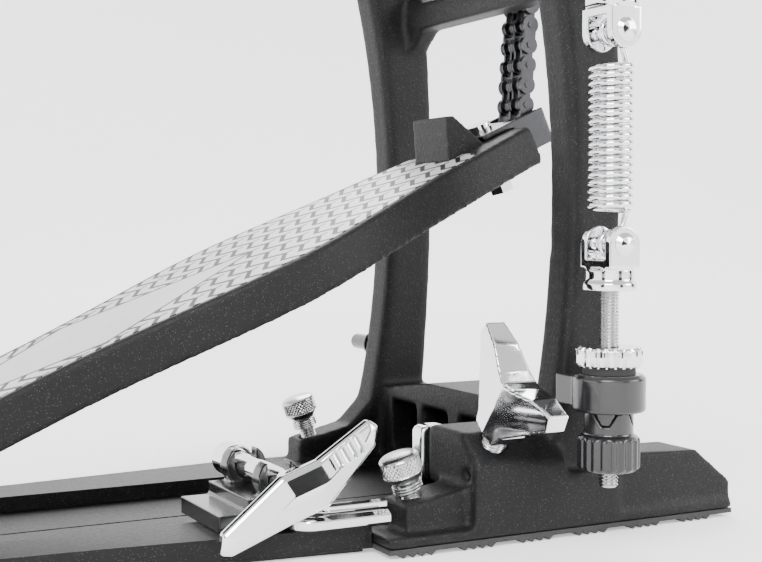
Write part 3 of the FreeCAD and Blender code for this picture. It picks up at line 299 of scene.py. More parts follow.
@dataclass(frozen=True)
class Moulded:
    """Moulded plastic or rubber: a dark skin with flow marks and a fine mould grain."""

    name: str
    base: Colour
    bloom: Colour
    roughness: tuple[float, float]
    grain_per_metre: float
    grain_height: float
    coat: float = 0.0

    def material(self) -> bpy.types.Material:
        """Build the moulding: a bloom over the base, uneven gloss and mould grain.

        Returns:
            The finished material.
        """
        made, new, link = blank_material(self.name)

        place = new("ShaderNodeTexCoord", "where on the moulding", (-1100, 0))
        shade = new("ShaderNodeBsdfPrincipled", "moulded skin", (200, 100))
        out = new("ShaderNodeOutputMaterial", "moulded surface", (520, 100))

        flow = new("ShaderNodeTexNoise", "flow marks and bloom")
        tint = new("ShaderNodeMix", "bloom on the skin", data_type="RGBA")
        gloss = new("ShaderNodeMapRange", "uneven gloss")
        laid_out([flow, tint], -850, 320)
        gloss.location = (-620, 80)
        framed("skin colour", (flow, tint, gloss))

        grain = new("ShaderNodeTexNoise", "grain of the mould")
        relief = new("ShaderNodeBump", "grain height")
        laid_out([grain, relief], -850, -220)
        framed("mould grain", (grain, relief))

        settle(flow, {"Scale": 45.0, "Detail": 5.0})
        settle(tint, {"A": rgba(self.base), "B": rgba(self.bloom)})
        settle(gloss, {"To Min": self.roughness[0], "To Max": self.roughness[1]})
        settle(grain, {"Scale": self.grain_per_metre, "Detail": 3.0})
        settle(relief, {"Strength": 0.5, "Distance": self.grain_height})
        settle(shade, {"Coat Weight": self.coat, "Coat Roughness": 0.12})

        link(place, "Object", flow, "Vector")
        link(place, "Object", grain, "Vector")
        link(flow, "Fac", tint, "Factor")
        link(flow, "Fac", gloss, "Value")
        link(tint, "Result", shade, "Base Color")
        link(gloss, "Result", shade, "Roughness")
        link(grain, "Fac", relief, "Height")
        link(relief, "Normal", shade, "Normal")
        link(shade, "BSDF", out, "Surface")
        return made


@dataclass(frozen=True)
class GripInlay:
    """Satin silver sheet with rows of thin black grip lines around a plain middle panel."""

    name: str = "silver grip inlay"
    silver: Colour = (0.70, 0.70, 0.71)
    shade_silver: Colour = (0.56, 0.56, 0.57)
    ink: Colour = (0.012, 0.012, 0.013)
    slope_degrees: float = 24.23
    pitch: float = 6.4 * MM
    zigzag: float = 7.0 * MM
    half_line: float = 0.16
    panel_middle: float = -0.1
    panel_half_length: float = 46 * MM
    panel_half_width: float = 20 * MM

    def material(self) -> bpy.types.Material:
        """Build the inlay: zigzag lines across the board, broken by short strokes and a plain panel.

        Returns:
            The finished material.
        """
        made, new, link = blank_material(self.name)

        place = new("ShaderNodeTexCoord", "where on the board")
        board = new("ShaderNodeMapping", "turned level with the board")
        axes = new("ShaderNodeSeparateXYZ", "along and across the board")
        laid_out([place, board, axes], -2500, 0)
        shade = new("ShaderNodeBsdfPrincipled", "printed silver sheet", (500, 100))
        out = new("ShaderNodeOutputMaterial", "inlay surface", (820, 100))

        fold = new("ShaderNodeMath", "saw across the board", operation="PINGPONG")
        lean = new("ShaderNodeMath", "how far a line leans", operation="MULTIPLY")
        shifted = new("ShaderNodeMath", "along, pushed by the zigzag", operation="ADD")
        rows = new("ShaderNodeMath", "rows of lines", operation="DIVIDE")
        phase = new("ShaderNodeMath", "place within a row", operation="FRACT")
        centred = new("ShaderNodeMath", "distance from the line", operation="PINGPONG")
        line = new("ShaderNodeMath", "the line itself", operation="LESS_THAN")
        laid_out([fold, lean, shifted, rows, phase, centred, line], -1800, 400)

        corner = new("ShaderNodeMath", "near a corner of the saw", operation="LESS_THAN")
        brick = new("ShaderNodeMath", "half of each row", operation="LESS_THAN")
        stroke = new("ShaderNodeMath", "short stroke", operation="MULTIPLY")
        ink_mask = new("ShaderNodeMath", "lines and strokes", operation="MAXIMUM")
        laid_out([corner, brick, stroke, ink_mask], -1340, 120)

        from_middle = new("ShaderNodeMath", "along from the middle", operation="SUBTRACT")
        along = new("ShaderNodeMath", "either way along", operation="ABSOLUTE")
        across = new("ShaderNodeMath", "either way across", operation="ABSOLUTE")
        taper = new("ShaderNodeMath", "panel narrows to its ends", operation="MULTIPLY_ADD")
        outside = new("ShaderNodeMath", "outside the panel", operation="GREATER_THAN")
        ink_kept = new("ShaderNodeMath", "ink only outside the panel", operation="MULTIPLY")
        outline = new("ShaderNodeMath", "outline of the panel", operation="COMPARE")
        printed = new("ShaderNodeMath", "grip lines and outline", operation="MAXIMUM")
        laid_out([from_middle, along, across, taper, outside, ink_kept, outline, printed], -1800, -200)

        wear = new("ShaderNodeTexNoise", "rubbed by shoes")
        silver_mix = new("ShaderNodeMix", "silver, dulled where rubbed", data_type="RGBA")
        ink_mix = new("ShaderNodeMix", "ink on the silver", data_type="RGBA")
        gloss = new("ShaderNodeMapRange", "uneven satin")
        ridge = new("ShaderNodeBump", "lines stand up a little")
        laid_out([wear, silver_mix, ink_mix, gloss, ridge], -800, -480)
        members = {
            "zigzag grip lines": (fold, lean, shifted, rows, phase, centred, line),
            "short strokes at the corners of the zigzag": (corner, brick, stroke, ink_mask),
            "plain panel in the middle": (from_middle, along, across, taper, outside, ink_kept, outline,
                                          printed),
            "satin silver": (wear, silver_mix, ink_mix, gloss, ridge),
        }
        for label, items in members.items():
            framed(label, items)

        board.inputs["Rotation"].default_value = (0.0, math.radians(self.slope_degrees), 0.0)
        fold.inputs[1].default_value = self.zigzag
        lean.inputs[1].default_value = 0.62
        rows.inputs[1].default_value = self.pitch
        centred.inputs[1].default_value = 0.5
        line.inputs[1].default_value = self.half_line
        corner.inputs[1].default_value = 0.6 * MM
        brick.inputs[1].default_value = 0.5
        from_middle.inputs[1].default_value = self.panel_middle
        taper.inputs[1].default_value = self.panel_half_width / self.panel_half_length
        outside.inputs[1].default_value = 1.35 * self.panel_half_width
        settle(outline, {1: 1.35 * self.panel_half_width, 2: 0.8 * MM})
        settle(wear, {"Scale": 55.0, "Detail": 6.0})
        settle(silver_mix, {"A": rgba(self.silver), "B": rgba(self.shade_silver)})
        ink_mix.inputs["B"].default_value = rgba(self.ink)
        settle(gloss, {"To Min": 0.34, "To Max": 0.56})
        settle(ridge, {"Strength": 0.5, "Distance": 0.12 * MM})
        shade.inputs["Metallic"].default_value = 0.55

        link(place, "Object", board, "Vector")
        link(place, "Object", wear, "Vector")
        link(board, "Vector", axes, "Vector")
        link(axes, "Y", fold, 0)
        link(fold, "Value", lean, 0)
        link(axes, "X", shifted, 0)
        link(lean, "Value", shifted, 1)
        link(shifted, "Value", rows, 0)
        link(rows, "Value", phase, 0)
        link(rows, "Value", centred, 0)
        link(centred, "Value", line, 0)
        link(fold, "Value", corner, 0)
        link(phase, "Value", brick, 0)
        link(corner, "Value", stroke, 0)
        link(brick, "Value", stroke, 1)
        link(line, "Value", ink_mask, 0)
        link(stroke, "Value", ink_mask, 1)
        link(axes, "X", from_middle, 0)
        link(from_middle, "Value", along, 0)
        link(axes, "Y", across, 0)
        link(along, "Value", taper, 0)
        link(across, "Value", taper, 2)
        link(taper, "Value", outside, 0)
        link(ink_mask, "Value", ink_kept, 0)
        link(outside, "Value", ink_kept, 1)
        link(taper, "Value", outline, 0)
        link(ink_kept, "Value", printed, 0)
        link(outline, "Value", printed, 1)
        link(wear, "Fac", silver_mix, "Factor")
        link(silver_mix, "Result", ink_mix, "A")
        link(printed, "Value", ink_mix, "Factor")
        link(ink_mix, "Result", shade, "Base Color")
        link(wear, "Fac", gloss, "Value")
        link(gloss, "Result", shade, "Roughness")
        link(printed, "Value", ridge, "Height")
        link(ridge, "Normal", shade, "Normal")
        link(shade, "BSDF", out, "Surface")
        return made


@dataclass(frozen=True)
class PressedFelt:
    """Hard white felt: matted fibres, small pits and a soft sheen."""

    name: str = "pressed felt"
    fibre: Colour = (0.78, 0.76, 0.71)
    shadow: Colour = (0.52, 0.50, 0.46)

    def material(self) -> bpy.types.Material:
        """Build the felt from two sizes of matted fibre.

        Returns:
            The finished material.
        """
        made, new, link = blank_material(self.name)

        place = new("ShaderNodeTexCoord", "where on the felt", (-900, 0))
        shade = new("ShaderNodeBsdfPrincipled", "felt", (300, 100))
        out = new("ShaderNodeOutputMaterial", "felt surface", (620, 100))
        mat = new("ShaderNodeTexNoise", "matted clumps")
        hair = new("ShaderNodeTexNoise", "single fibres")
        tint = new("ShaderNodeMix", "fibre colour", data_type="RGBA")
        nap = new("ShaderNodeBump", "nap")
        laid_out([mat, tint], -650, 260)
        laid_out([hair, nap], -650, -120)
        framed("matted fibres", (mat, hair, tint, nap))

        settle(mat, {"Scale": 260.0, "Detail": 6.0})
        settle(hair, {"Scale": 1500.0, "Detail": 8.0, "Distortion": 1.5})
        settle(tint, {"A": rgba(self.shadow), "B": rgba(self.fibre)})
        settle(nap, {"Strength": 0.8, "Distance": 0.35 * MM})
        settle(shade, {"Roughness": 0.95, "Sheen Weight": 0.35})

        link(place, "Object", mat, "Vector")
        link(place, "Object", hair, "Vector")
        link(mat, "Fac", tint, "Factor")
        link(tint, "Result", shade, "Base Color")
        link(hair, "Fac", nap, "Height")
        link(nap, "Normal", shade, "Normal")
        link(shade, "BSDF", out, "Surface")
        return made


class Surface(Enum):
    """The record's material slots, each with the finish that dresses it."""

    CAST = "cast_black"
    PLATE = "plate_black"
    RUBBER = "rubber"
    STEEL = "steel"
    CHROME = "chrome"
    DARK_STEEL = "black_steel"
    INLAY = "inlay"
    PLASTIC = "gloss_black"
    FELT = "felt"


FINISHES = {
    Surface.CAST: PowderCoat("sparkle powder coat"),
    Surface.PLATE: PowderCoat("plate powder coat", grain_height=0.00014, roughness=(0.36, 0.55)),
    Surface.RUBBER: Moulded("foot rubber", (0.014, 0.014, 0.014), (0.035, 0.035, 0.034), (0.7, 0.92),
                            1100.0, 0.00016),
    Surface.STEEL: BareMetal("zinc plated steel", (0.62, 0.62, 0.62), (0.46, 0.46, 0.47), (0.16, 0.34),
                             0.000012),
    Surface.CHROME: BareMetal("bright chrome", (0.86, 0.86, 0.87), (0.76, 0.76, 0.78), (0.035, 0.11)),
    Surface.DARK_STEEL: BareMetal("oiled chain steel", (0.085, 0.085, 0.09), (0.03, 0.03, 0.032),
                                  (0.22, 0.42), 0.00001),
    Surface.INLAY: GripInlay(),
    Surface.PLASTIC: Moulded("glossy black plastic", (0.007, 0.007, 0.008), (0.014, 0.014, 0.015),
                             (0.16, 0.3), 700.0, 0.00003, 0.35),
    Surface.FELT: PressedFelt(),
}


@dataclass
class Palette:
    """The materials made so far, one for each finish."""

    made: dict = field(default_factory=dict)

    def material(self, surface: Surface) -> bpy.types.Material:
        """The material of a finish, built on its first use.

        Args:
            surface: which finish.

        Returns:
            The material.
        """
        if surface not in self.made:
            self.made[surface] = FINISHES[surface].material()
        return self.made[surface]

    def dress(self, piece: bpy.types.Object, surface: Surface) -> None:
        """Give a whole piece one finish.

        Args:
            piece: the piece to dress.
            surface: which finish.
        """
        piece.data.materials.clear()
        piece.data.materials.append(self.material(surface))


# ---------------------------------------------------------------- surfaces

def smooth_step(value: np.ndarray) -> np.ndarray:
    """An even ramp from 0 to 1: three times the square less twice the cube."""
    clear = np.clip(value, 0.0, 1.0)
    return clear * clear * (3.0 - 2.0 * clear)


def grid_faces(rows: int, columns: int, ring: bool) -> np.ndarray:
    """Four-sided faces between the points of a grid.

    Args:
        rows: points one way.
        columns: points the other way.
        ring: whether the last column joins the first row by row.

    Returns:
        One row of four point numbers for each face.
    """
    row, column = np.meshgrid(np.arange(rows - 1), np.arange(columns if ring else columns - 1), indexing="ij")
    after = (column + 1) % columns
    here, below = row * columns, (row + 1) * columns
    return np.stack([here + column, here + after, below + after, below + column], -1).reshape(-1, 4)


def ring_surface(points: np.ndarray) -> Mesh:
    """Close a stack of rings with a point in the middle of its first and last ring.

    Args:
        points: rings by sides by 3.

    Returns:
        All points, and the faces between rings with a fan at each end.
    """
    rings, sides, _ = points.shape
    low, high = points[0].mean(0), points[-1].mean(0)
    everything = np.vstack([points.reshape(-1, 3), low, high])
    side = np.arange(sides)
    after = (side + 1) % sides
    last = (rings - 1) * sides
    first_fan = np.stack([np.full(sides, rings * sides), after, side], -1)
    last_fan = np.stack([np.full(sides, rings * sides + 1), last + side, last + after], -1)
    faces = grid_faces(rings, sides, True).tolist() + first_fan.tolist() + last_fan.tolist()
    return everything, faces


def around(radius: np.ndarray, turn: np.ndarray, height: np.ndarray) -> np.ndarray:
    """Points at a radius, an angle and a height round +Z: (r cos a, r sin a, z)."""
    return np.stack(np.broadcast_arrays(radius * np.cos(turn), radius * np.sin(turn), height), -1)


def turned_surface(radius: np.ndarray, height: np.ndarray) -> Mesh:
    """Carry a profile round +Z: a point is (r cos a, r sin a, z), where r may change with a.

    Args:
        radius: rings by sides.
        height: one for each ring, or rings by sides.

    Returns:
        The closed surface.
    """
    sides = radius.shape[1]
    turn = np.arange(sides) * 2 * np.pi / sides
    return ring_surface(around(radius, turn, height.reshape(len(radius), -1)))


def carried_section(path: np.ndarray, across: np.ndarray, section: np.ndarray) -> Mesh:
    """Carry a flat section along a path: a point is the path plus x times across plus y times the rest.

    Args:
        path: stations by 3.
        across: a direction at each station that is not along the path.
        section: points by 2, in the plane square to the path.

    Returns:
        The closed tube.
    """
    along = np.gradient(path, axis=0)
    along /= np.linalg.norm(along, axis=1, keepdims=True)
    out = across - along * (across * along).sum(1, keepdims=True)
    out /= np.linalg.norm(out, axis=1, keepdims=True)
    rest = np.cross(along, out)
    points = path[:, None] + out[:, None] * section[None, :, :1] + rest[:, None] * section[None, :, 1:]
    return ring_surface(points)


def circle(radius: float, sides: int) -> np.ndarray:
    """Points round a circle, as a section."""
    turn = np.arange(sides) * 2 * np.pi / sides
    return radius * np.stack([np.cos(turn), np.sin(turn)], -1)


def wound_wire(radius: float, ends: tuple[float, float], turns: float, per_turn: int,
               section: np.ndarray) -> Mesh:
    """Wind a wire up +Z, rising evenly with its angle.

    Args:
        radius: radius of the middle of the wire.
        ends: heights of its two ends.
        turns: how many turns it makes.
        per_turn: stations on each turn.
        section: the wire's section.

    Returns:
        The closed coil.
    """
    angle = np.linspace(0, 2 * np.pi * turns, int(turns * per_turn) + 1)
    path = around(radius, angle, np.linspace(*ends, len(angle)))
    return carried_section(path, around(1.0, angle, 0.0), section)


def rounded_path(corners: np.ndarray, per_run: int) -> np.ndarray:
    """A smooth line through points: each run is a cubic whose ends lean along their neighbours.

    Args:
        corners: points by 3.
        per_run: stations on each run.

    Returns:
        Stations by 3.
    """
    ends = np.vstack([2 * corners[0] - corners[1], corners, 2 * corners[-1] - corners[-2]])
    share = np.linspace(0, 1, per_run, endpoint=False)[:, None]
    before, start, stop, beyond = (ends[i:len(ends) - 3 + i, None] for i in range(4))
    line = 0.5 * (2 * start + (stop - before) * share
                  + (2 * before - 5 * start + 4 * stop - beyond) * share ** 2
                  + (3 * start - before - 3 * stop + beyond) * share ** 3)
    return np.vstack([line.reshape(-1, 3), corners[-1]])


def joined(parts: list) -> Mesh:
    """Put several surfaces into one.

    Args:
        parts: surfaces as points and faces.

    Returns:
        One surface.
    """
    offset, points, faces = 0, [], []
    for some, corners in parts:
        points.append(some)
        faces += [[number + offset for number in face] for face in corners]
        offset += len(some)
    return np.vstack(points), faces


def placed(surface: Mesh, turn: Matrix, at: Vector) -> Mesh:
    """A surface turned and then moved."""
    points, faces = surface
    return points @ np.array(turn.to_3x3()).T + np.array(at), faces


def lean_about_y(degrees: float) -> Matrix:
    """A turn that leans +Z towards the heel by an angle."""
    return Matrix.Rotation(-math.radians(degrees), 4, "Y")


def finished_piece(name: str, surface: Mesh, sharp_degrees: float = 35.0) -> bpy.types.Object:
    """Put a closed surface into a new piece with its faces outwards.

    Args:
        name: the piece's name.
        surface: points in metres, and faces.
        sharp_degrees: edges sharper than this are kept crisp.

    Returns:
        The piece.
    """
    points, faces = surface
    mesh = bpy.data.meshes.new(name)
    mesh.from_pydata(points.tolist(), [], faces)
    shell = bmesh.new()
    shell.from_mesh(mesh)
    bmesh.ops.remove_doubles(shell, verts=shell.verts, dist=MERGE_DISTANCE)
    bmesh.ops.recalc_face_normals(shell, faces=shell.faces)
    shell.to_mesh(mesh)
    shell.free()
    mesh.shade_smooth()
    mesh.set_sharp_from_angle(angle=math.radians(sharp_degrees))
    piece = bpy.data.objects.new(name, mesh)
    bpy.context.scene.collection.objects.link(piece)
    return piece


def softened_copy(node: str, name: str, voxel: float, rounds: int) -> bpy.types.Object:
    """Copy a CAD node and round its edges as casting or moulding leaves them.

    The copy is given an even skin of small squares, and each point then moves halfway to the middle of
    its neighbours, a few times over.

    Args:
        node: the CAD node.
        name: the new piece's name.
        voxel: size of the squares.
        rounds: how many times the points move.

    Returns:
        The piece, with nothing live on it.
    """
    mesh = frame["nodes"][node].data.copy()
    shell = bmesh.new()
    shell.from_mesh(mesh)
    bmesh.ops.remove_doubles(shell, verts=shell.verts, dist=MERGE_DISTANCE)
    shell.to_mesh(mesh)
    shell.free()
    piece = bpy.data.objects.new(name, mesh)
    bpy.context.scene.collection.objects.link(piece)
    skin = piece.modifiers.new("even skin", "REMESH")
    skin.mode = "VOXEL"
    skin.voxel_size = voxel
    edges = piece.modifiers.new("rounded edges", "SMOOTH")
    edges.factor = 0.5
    edges.iterations = rounds
    shown = piece.evaluated_get(bpy.context.evaluated_depsgraph_get())
    finished = bpy.data.meshes.new_from_object(shown)
    piece.modifiers.clear()
    piece.data = finished
    finished.name = name
    finished.shade_smooth()
    return piece


def mesh_points(piece: bpy.types.Object) -> np.ndarray:
    """A piece's points, as an array."""
    points = np.empty(len(piece.data.vertices) * 3, np.float32)
    piece.data.vertices.foreach_get("co", points)
    return points.reshape(-1, 3).astype(float)


def set_mesh_points(piece: bpy.types.Object, points: np.ndarray) -> None:
    """Move a piece's points to new places."""
    piece.data.vertices.foreach_set("co", points.astype(np.float32).ravel())
    piece.data.update()


def mark_painted_hollow_shade(piece: bpy.types.Object, depth: np.ndarray) -> None:
    """Store how deep each point lies in a hollow, from 0 to 1, as the mask of a painted shade."""
    mark = piece.data.attributes.new("hollow", "FLOAT", "POINT")
    mark.data.foreach_set("value", depth.astype(np.float32))


def distance_to_runs(points: np.ndarray, start: np.ndarray, run: np.ndarray) -> np.ndarray:
    """The distance from each point to the nearest of several straight runs.

    Args:
        points: points by 2.
        start: where each run starts.
        run: how far each run goes.

    Returns:
        One distance for each point.
    """
    offset = points[:, None] - start[None]
    share = np.clip((offset * run).sum(-1) / (run * run).sum(-1), 0.0, 1.0)
    return np.linalg.norm(offset - share[..., None] * run, axis=-1).min(1)


def distance_to_outline(points: np.ndarray, outline: np.ndarray) -> np.ndarray:
    """The distance from each point to the nearest run of a closed outline.

    Args:
        points: points by 2.
        outline: corners by 2.

    Returns:
        One distance for each point.
    """
    return distance_to_runs(points, outline, np.roll(outline, -1, 0) - outline)


def stands_for(piece: bpy.types.Object, body: str, *nodes: str) -> None:
    """Let a piece ride on a body in place of CAD nodes, and report it.

    Args:
        piece: the new piece.
        body: the body that it rides on.
        nodes: the CAD nodes that it replaces.
    """
    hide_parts(*nodes)
    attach(piece, body)
    LOG.info("%s: %d points, rides on %s", piece.name, len(piece.data.vertices), body)


# ---------------------------------------------------------------- sub-assemblies

@dataclass
class SoftEdges:
    """Cast and moulded parts that keep their CAD shape and lose their knife edges."""

    palette: Palette
    skins: dict = field(default_factory=lambda: {
        "frame_casting": (1.15 * MM, 3), "heel_plate": (0.9 * MM, 3), "footboard": (1.1 * MM, 2),
        "toe_stop": (0.5 * MM, 3), "chain_wheel": (0.55 * MM, 2), "chain_clamp": (0.45 * MM, 2),
        "spring_bracket": (0.36 * MM, 3), "lock_nut": (0.34 * MM, 2), "upper_clevis": (0.32 * MM, 3),
        "lower_clevis": (0.32 * MM, 3), "rocker_arm": (0.4 * MM, 3), "tool_clip": (0.5 * MM, 3),
        "clamp_lever": (0.7 * MM, 3), "blanking_plug": (0.35 * MM, 3), "beater_core": (0.6 * MM, 2),
    })

    def build(self) -> None:
        """Copy, soften and dress each part, and let it ride on its own body."""
        slots = {part["node"]: Surface(part["material_slot"]) for part in frame["record"]["subparts"]}
        for node, (voxel, rounds) in self.skins.items():
            piece = softened_copy(node, node + "_soft", voxel, rounds)
            self.palette.dress(piece, slots[node])
            stands_for(piece, frame["nodes"][node]["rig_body"], node)


@dataclass
class ReturnSpring:
    """The extension spring between the two clevises: a close coil with a hooked loop at each end."""

    palette: Palette
    across: float = -84 * MM
    coil_radius: float = 6 * MM
    wire_radius: float = 0.98 * MM
    coil_low: float = 101 * MM
    coil_high: float = 144 * MM
    turns: float = 19.0
    pin_low: float = 90.8 * MM
    pin_high: float = 154 * MM
    loop_radius: float = 3.45 * MM
    stations_per_turn: int = 32

    def coil(self) -> Mesh:
        """The close coil: a point is (R cos a, R sin a) and rises evenly with a."""
        return wound_wire(self.coil_radius, (self.coil_low, self.coil_high), self.turns,
                          self.stations_per_turn, circle(self.wire_radius, 12))

    def loop(self, pin: float, coil_end: float) -> Mesh:
        """The hook from the end of the coil up and round a pin, flat in the XZ plane."""
        way = 1.0 if pin > coil_end else -1.0
        angle = np.radians(np.linspace(-20, 285, 15))
        ring = np.stack([self.loop_radius * np.cos(angle), np.zeros(15),
                         pin + way * self.loop_radius * np.sin(angle)], -1)
        start = np.array([[self.coil_radius, -0.8 * MM, coil_end - way * 0.3 * MM],
                          [self.coil_radius * 0.94, 0.0, coil_end + way * 1.8 * MM]])
        path = rounded_path(np.vstack([start, ring]), 6)
        return carried_section(path, np.tile([0.0, 1.0, 0.0], (len(path), 1)), circle(self.wire_radius, 12))

    def build(self) -> None:
        """Build the spring between its lower swivel and the hanger."""
        points, faces = joined([self.coil(), self.loop(self.pin_low, self.coil_low),
                                self.loop(self.pin_high, self.coil_high)])
        points[:, 1] += self.across
        piece = finished_piece("return_spring", (points, faces))
        self.palette.dress(piece, Surface.CHROME)
        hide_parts("spring")
        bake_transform(piece)
        LOG.info("return_spring: stretches from spring_swivel to hanger")


def threaded_stem(radius: float, pitch: float, low: float, high: float, sides: int = 32) -> Mesh:
    """A threaded stem up +Z: its radius falls and rises once for each pitch along a helix.

    Args:
        radius: outside radius.
        pitch: rise of one turn.
        low: lower end.
        high: upper end.
        sides: points round it.

    Returns:
        The closed stem with a chamfer at both ends.
    """
    height = np.arange(low, high + 1e-9, pitch / 8)
    turn = np.arange(sides) / sides
    phase = np.mod(height[:, None] / pitch - turn[None], 1.0)
    ridge = np.clip(np.abs(phase - 0.5) * 2.4 - 0.1, 0.0, 1.0)
    chamfer = np.clip((0.6 * MM - np.minimum(height - low, high - height)) / (0.6 * MM), 0, 1)[:, None]
    return turned_surface(radius - 0.58 * pitch * np.maximum(ridge, chamfer), height)


def scalloped_disc(radius: float, low: float, high: float, bore: float, flutes: int, depth: float,
                   bevel: float) -> Mesh:
    """A fluted nut round +Z: its radius falls to a rounded groove at each flute, and bevels at both rims.

    Args:
        radius: outside radius.
        low: lower face.
        high: upper face.
        bore: radius of its hole.
        flutes: how many grooves.
        depth: how deep a groove is.
        bevel: how much of the rim is bevelled.

    Returns:
        The closed ring, its bore among its faces.
    """
    sides = flutes * 10
    turn = np.arange(sides) * 2 * np.pi / sides
    groove = depth * np.clip(np.cos(turn * flutes), 0.0, 1.0) ** 0.8
    share = np.array([0.0, 0.35, 0.75, 1.0])
    rise = np.concatenate([low + bevel * share, high - bevel * share[::-1]])
    drop = np.concatenate([bevel * (1 - share) ** 1.6, bevel * ((1 - share) ** 1.6)[::-1]])
    outer = radius - drop[:, None] - groove[None] * np.clip(1.4 - drop[:, None] / bevel, 0, 1)
    face_low = np.full((1, sides), radius * 0.72)
    wall = np.full((1, sides), bore)
    radii = np.vstack([wall, face_low, outer, face_low, wall])
    heights = np.concatenate([[low, low], rise, [high, high]])
    points = around(radii, turn, heights[:, None])
    rings = len(radii)
    closed = np.concatenate([points, points[:1]])
    faces = grid_faces(rings + 1, sides, True) % (rings * sides)
    return closed[:-1].reshape(-1, 3), faces.tolist()


@dataclass
class SpringColumn:
    """The threaded rod under the spring with its round tension nut."""

    palette: Palette
    across: float = -84 * MM
    thread_radius: float = 3 * MM
    rod_low: float = 17.6 * MM
    rod_high: float = 77 * MM
    pitch: float = 1 * MM
    nut_radius: float = 10 * MM
    nut_low: float = 54 * MM
    nut_high: float = 60 * MM

    def build(self) -> None:
        """Build the rod and the nut in their places."""
        at = Vector((0, self.across, 0))
        rod = finished_piece("threaded_rod", placed(
            threaded_stem(self.thread_radius, self.pitch, self.rod_low, self.rod_high), Matrix(), at), 60)
        self.palette.dress(rod, Surface.STEEL)
        stands_for(rod, "frame", "spring_rod")
        nut = finished_piece("fluted_tension_nut", placed(
            scalloped_disc(self.nut_radius, self.nut_low, self.nut_high, self.thread_radius + 0.06 * MM, 22,
                           1.0 * MM, 0.9 * MM), Matrix(), at), 50)
        self.palette.dress(nut, Surface.CHROME)
        stands_for(nut, "tension_nut", "tension_nut")


@dataclass
class Spur:
    """A pointed floor screw with a knurled head and the light coil under it."""

    palette: Palette
    side: str
    foot: Vector
    coil_low: float
    coil_high: float
    coil_turns: int
    coil_radius: float = 4.4 * MM
    coil_wire: float = 0.3 * MM
    lean: float = 19.0
    thread_radius: float = 3 * MM
    head_radius: float = 6.2 * MM
    knurls: int = 30
    knurl_depth: float = 0.42 * MM

    def screw(self) -> Mesh:
        """The head: a cone, a barrel cut into diamonds by two crossed screw grooves, and a low dome."""
        sides = self.knurls * 6
        turn = np.arange(sides) / sides
        low, high = 23.6 * MM, 28.4 * MM
        height = np.linspace(low, high, 33)
        lead = 2 * np.pi * self.head_radius / self.knurls * 1.25
        one = np.abs(np.mod(turn[None] * self.knurls + height[:, None] / lead, 1.0) - 0.5)
        other = np.abs(np.mod(turn[None] * self.knurls - height[:, None] / lead, 1.0) - 0.5)
        fade = smooth_step(np.minimum(height - low, high - height) / (0.5 * MM))[:, None]
        groove = np.clip(1.0 - 2.6 * np.minimum(one, other), 0.0, 1.0)
        barrel = self.head_radius - self.knurl_depth * fade * groove
        rims = {21.0: 4.2, 21.4: 4.5, 23.3: 6.0}
        cone = [np.full((1, sides), r * MM) for r in rims.values()]
        caps = {28.8: 6.0, 29.25: 5.4, 29.55: 4.0, 29.75: 2.2, 29.85: 0.7}
        dome = [np.full((1, sides), r * MM) for r in caps.values()]
        heights = np.concatenate([np.array(list(rims)) * MM, height, np.array(list(caps)) * MM])
        return turned_surface(np.vstack([*cone, barrel, *dome]), heights)

    def stem(self) -> Mesh:
        """The screw's threaded stem with its point."""
        threads = threaded_stem(self.thread_radius, 1 * MM, 4.4 * MM, 21.2 * MM, 28)
        radii = np.array([0.15, 1.6, 2.5])[:, None] * MM * np.ones((1, 28))
        point = turned_surface(radii, np.array([0.8, 3.1, 4.6]) * MM)
        return joined([threads, point])

    def coil(self) -> Mesh:
        """The light coil of fine wire under the head."""
        return wound_wire(self.coil_radius, (self.coil_low, self.coil_high), self.coil_turns, 28,
                          circle(self.coil_wire, 8))

    def build(self) -> None:
        """Build the screw and its coil on the leaning axis."""
        turn, name = lean_about_y(self.lean), "spur_" + self.side
        up = turn.to_3x3() @ Vector((0, 0, 1))
        seat = self.foot - up * self.foot.z
        lift = up * self.foot.z
        whole = joined([self.screw(), self.stem()])
        screw = finished_piece(name + "_screw", placed(whole, turn, seat + lift), 40)
        self.palette.dress(screw, Surface.STEEL)
        stands_for(screw, name, name)
        coil = finished_piece(name + "_coil", placed(self.coil(), turn, seat))
        self.palette.dress(coil, Surface.STEEL)
        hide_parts("spur_spring_" + self.side)
        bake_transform(coil)
        LOG.info("%s_coil: is squeezed between the foot and the head", name)


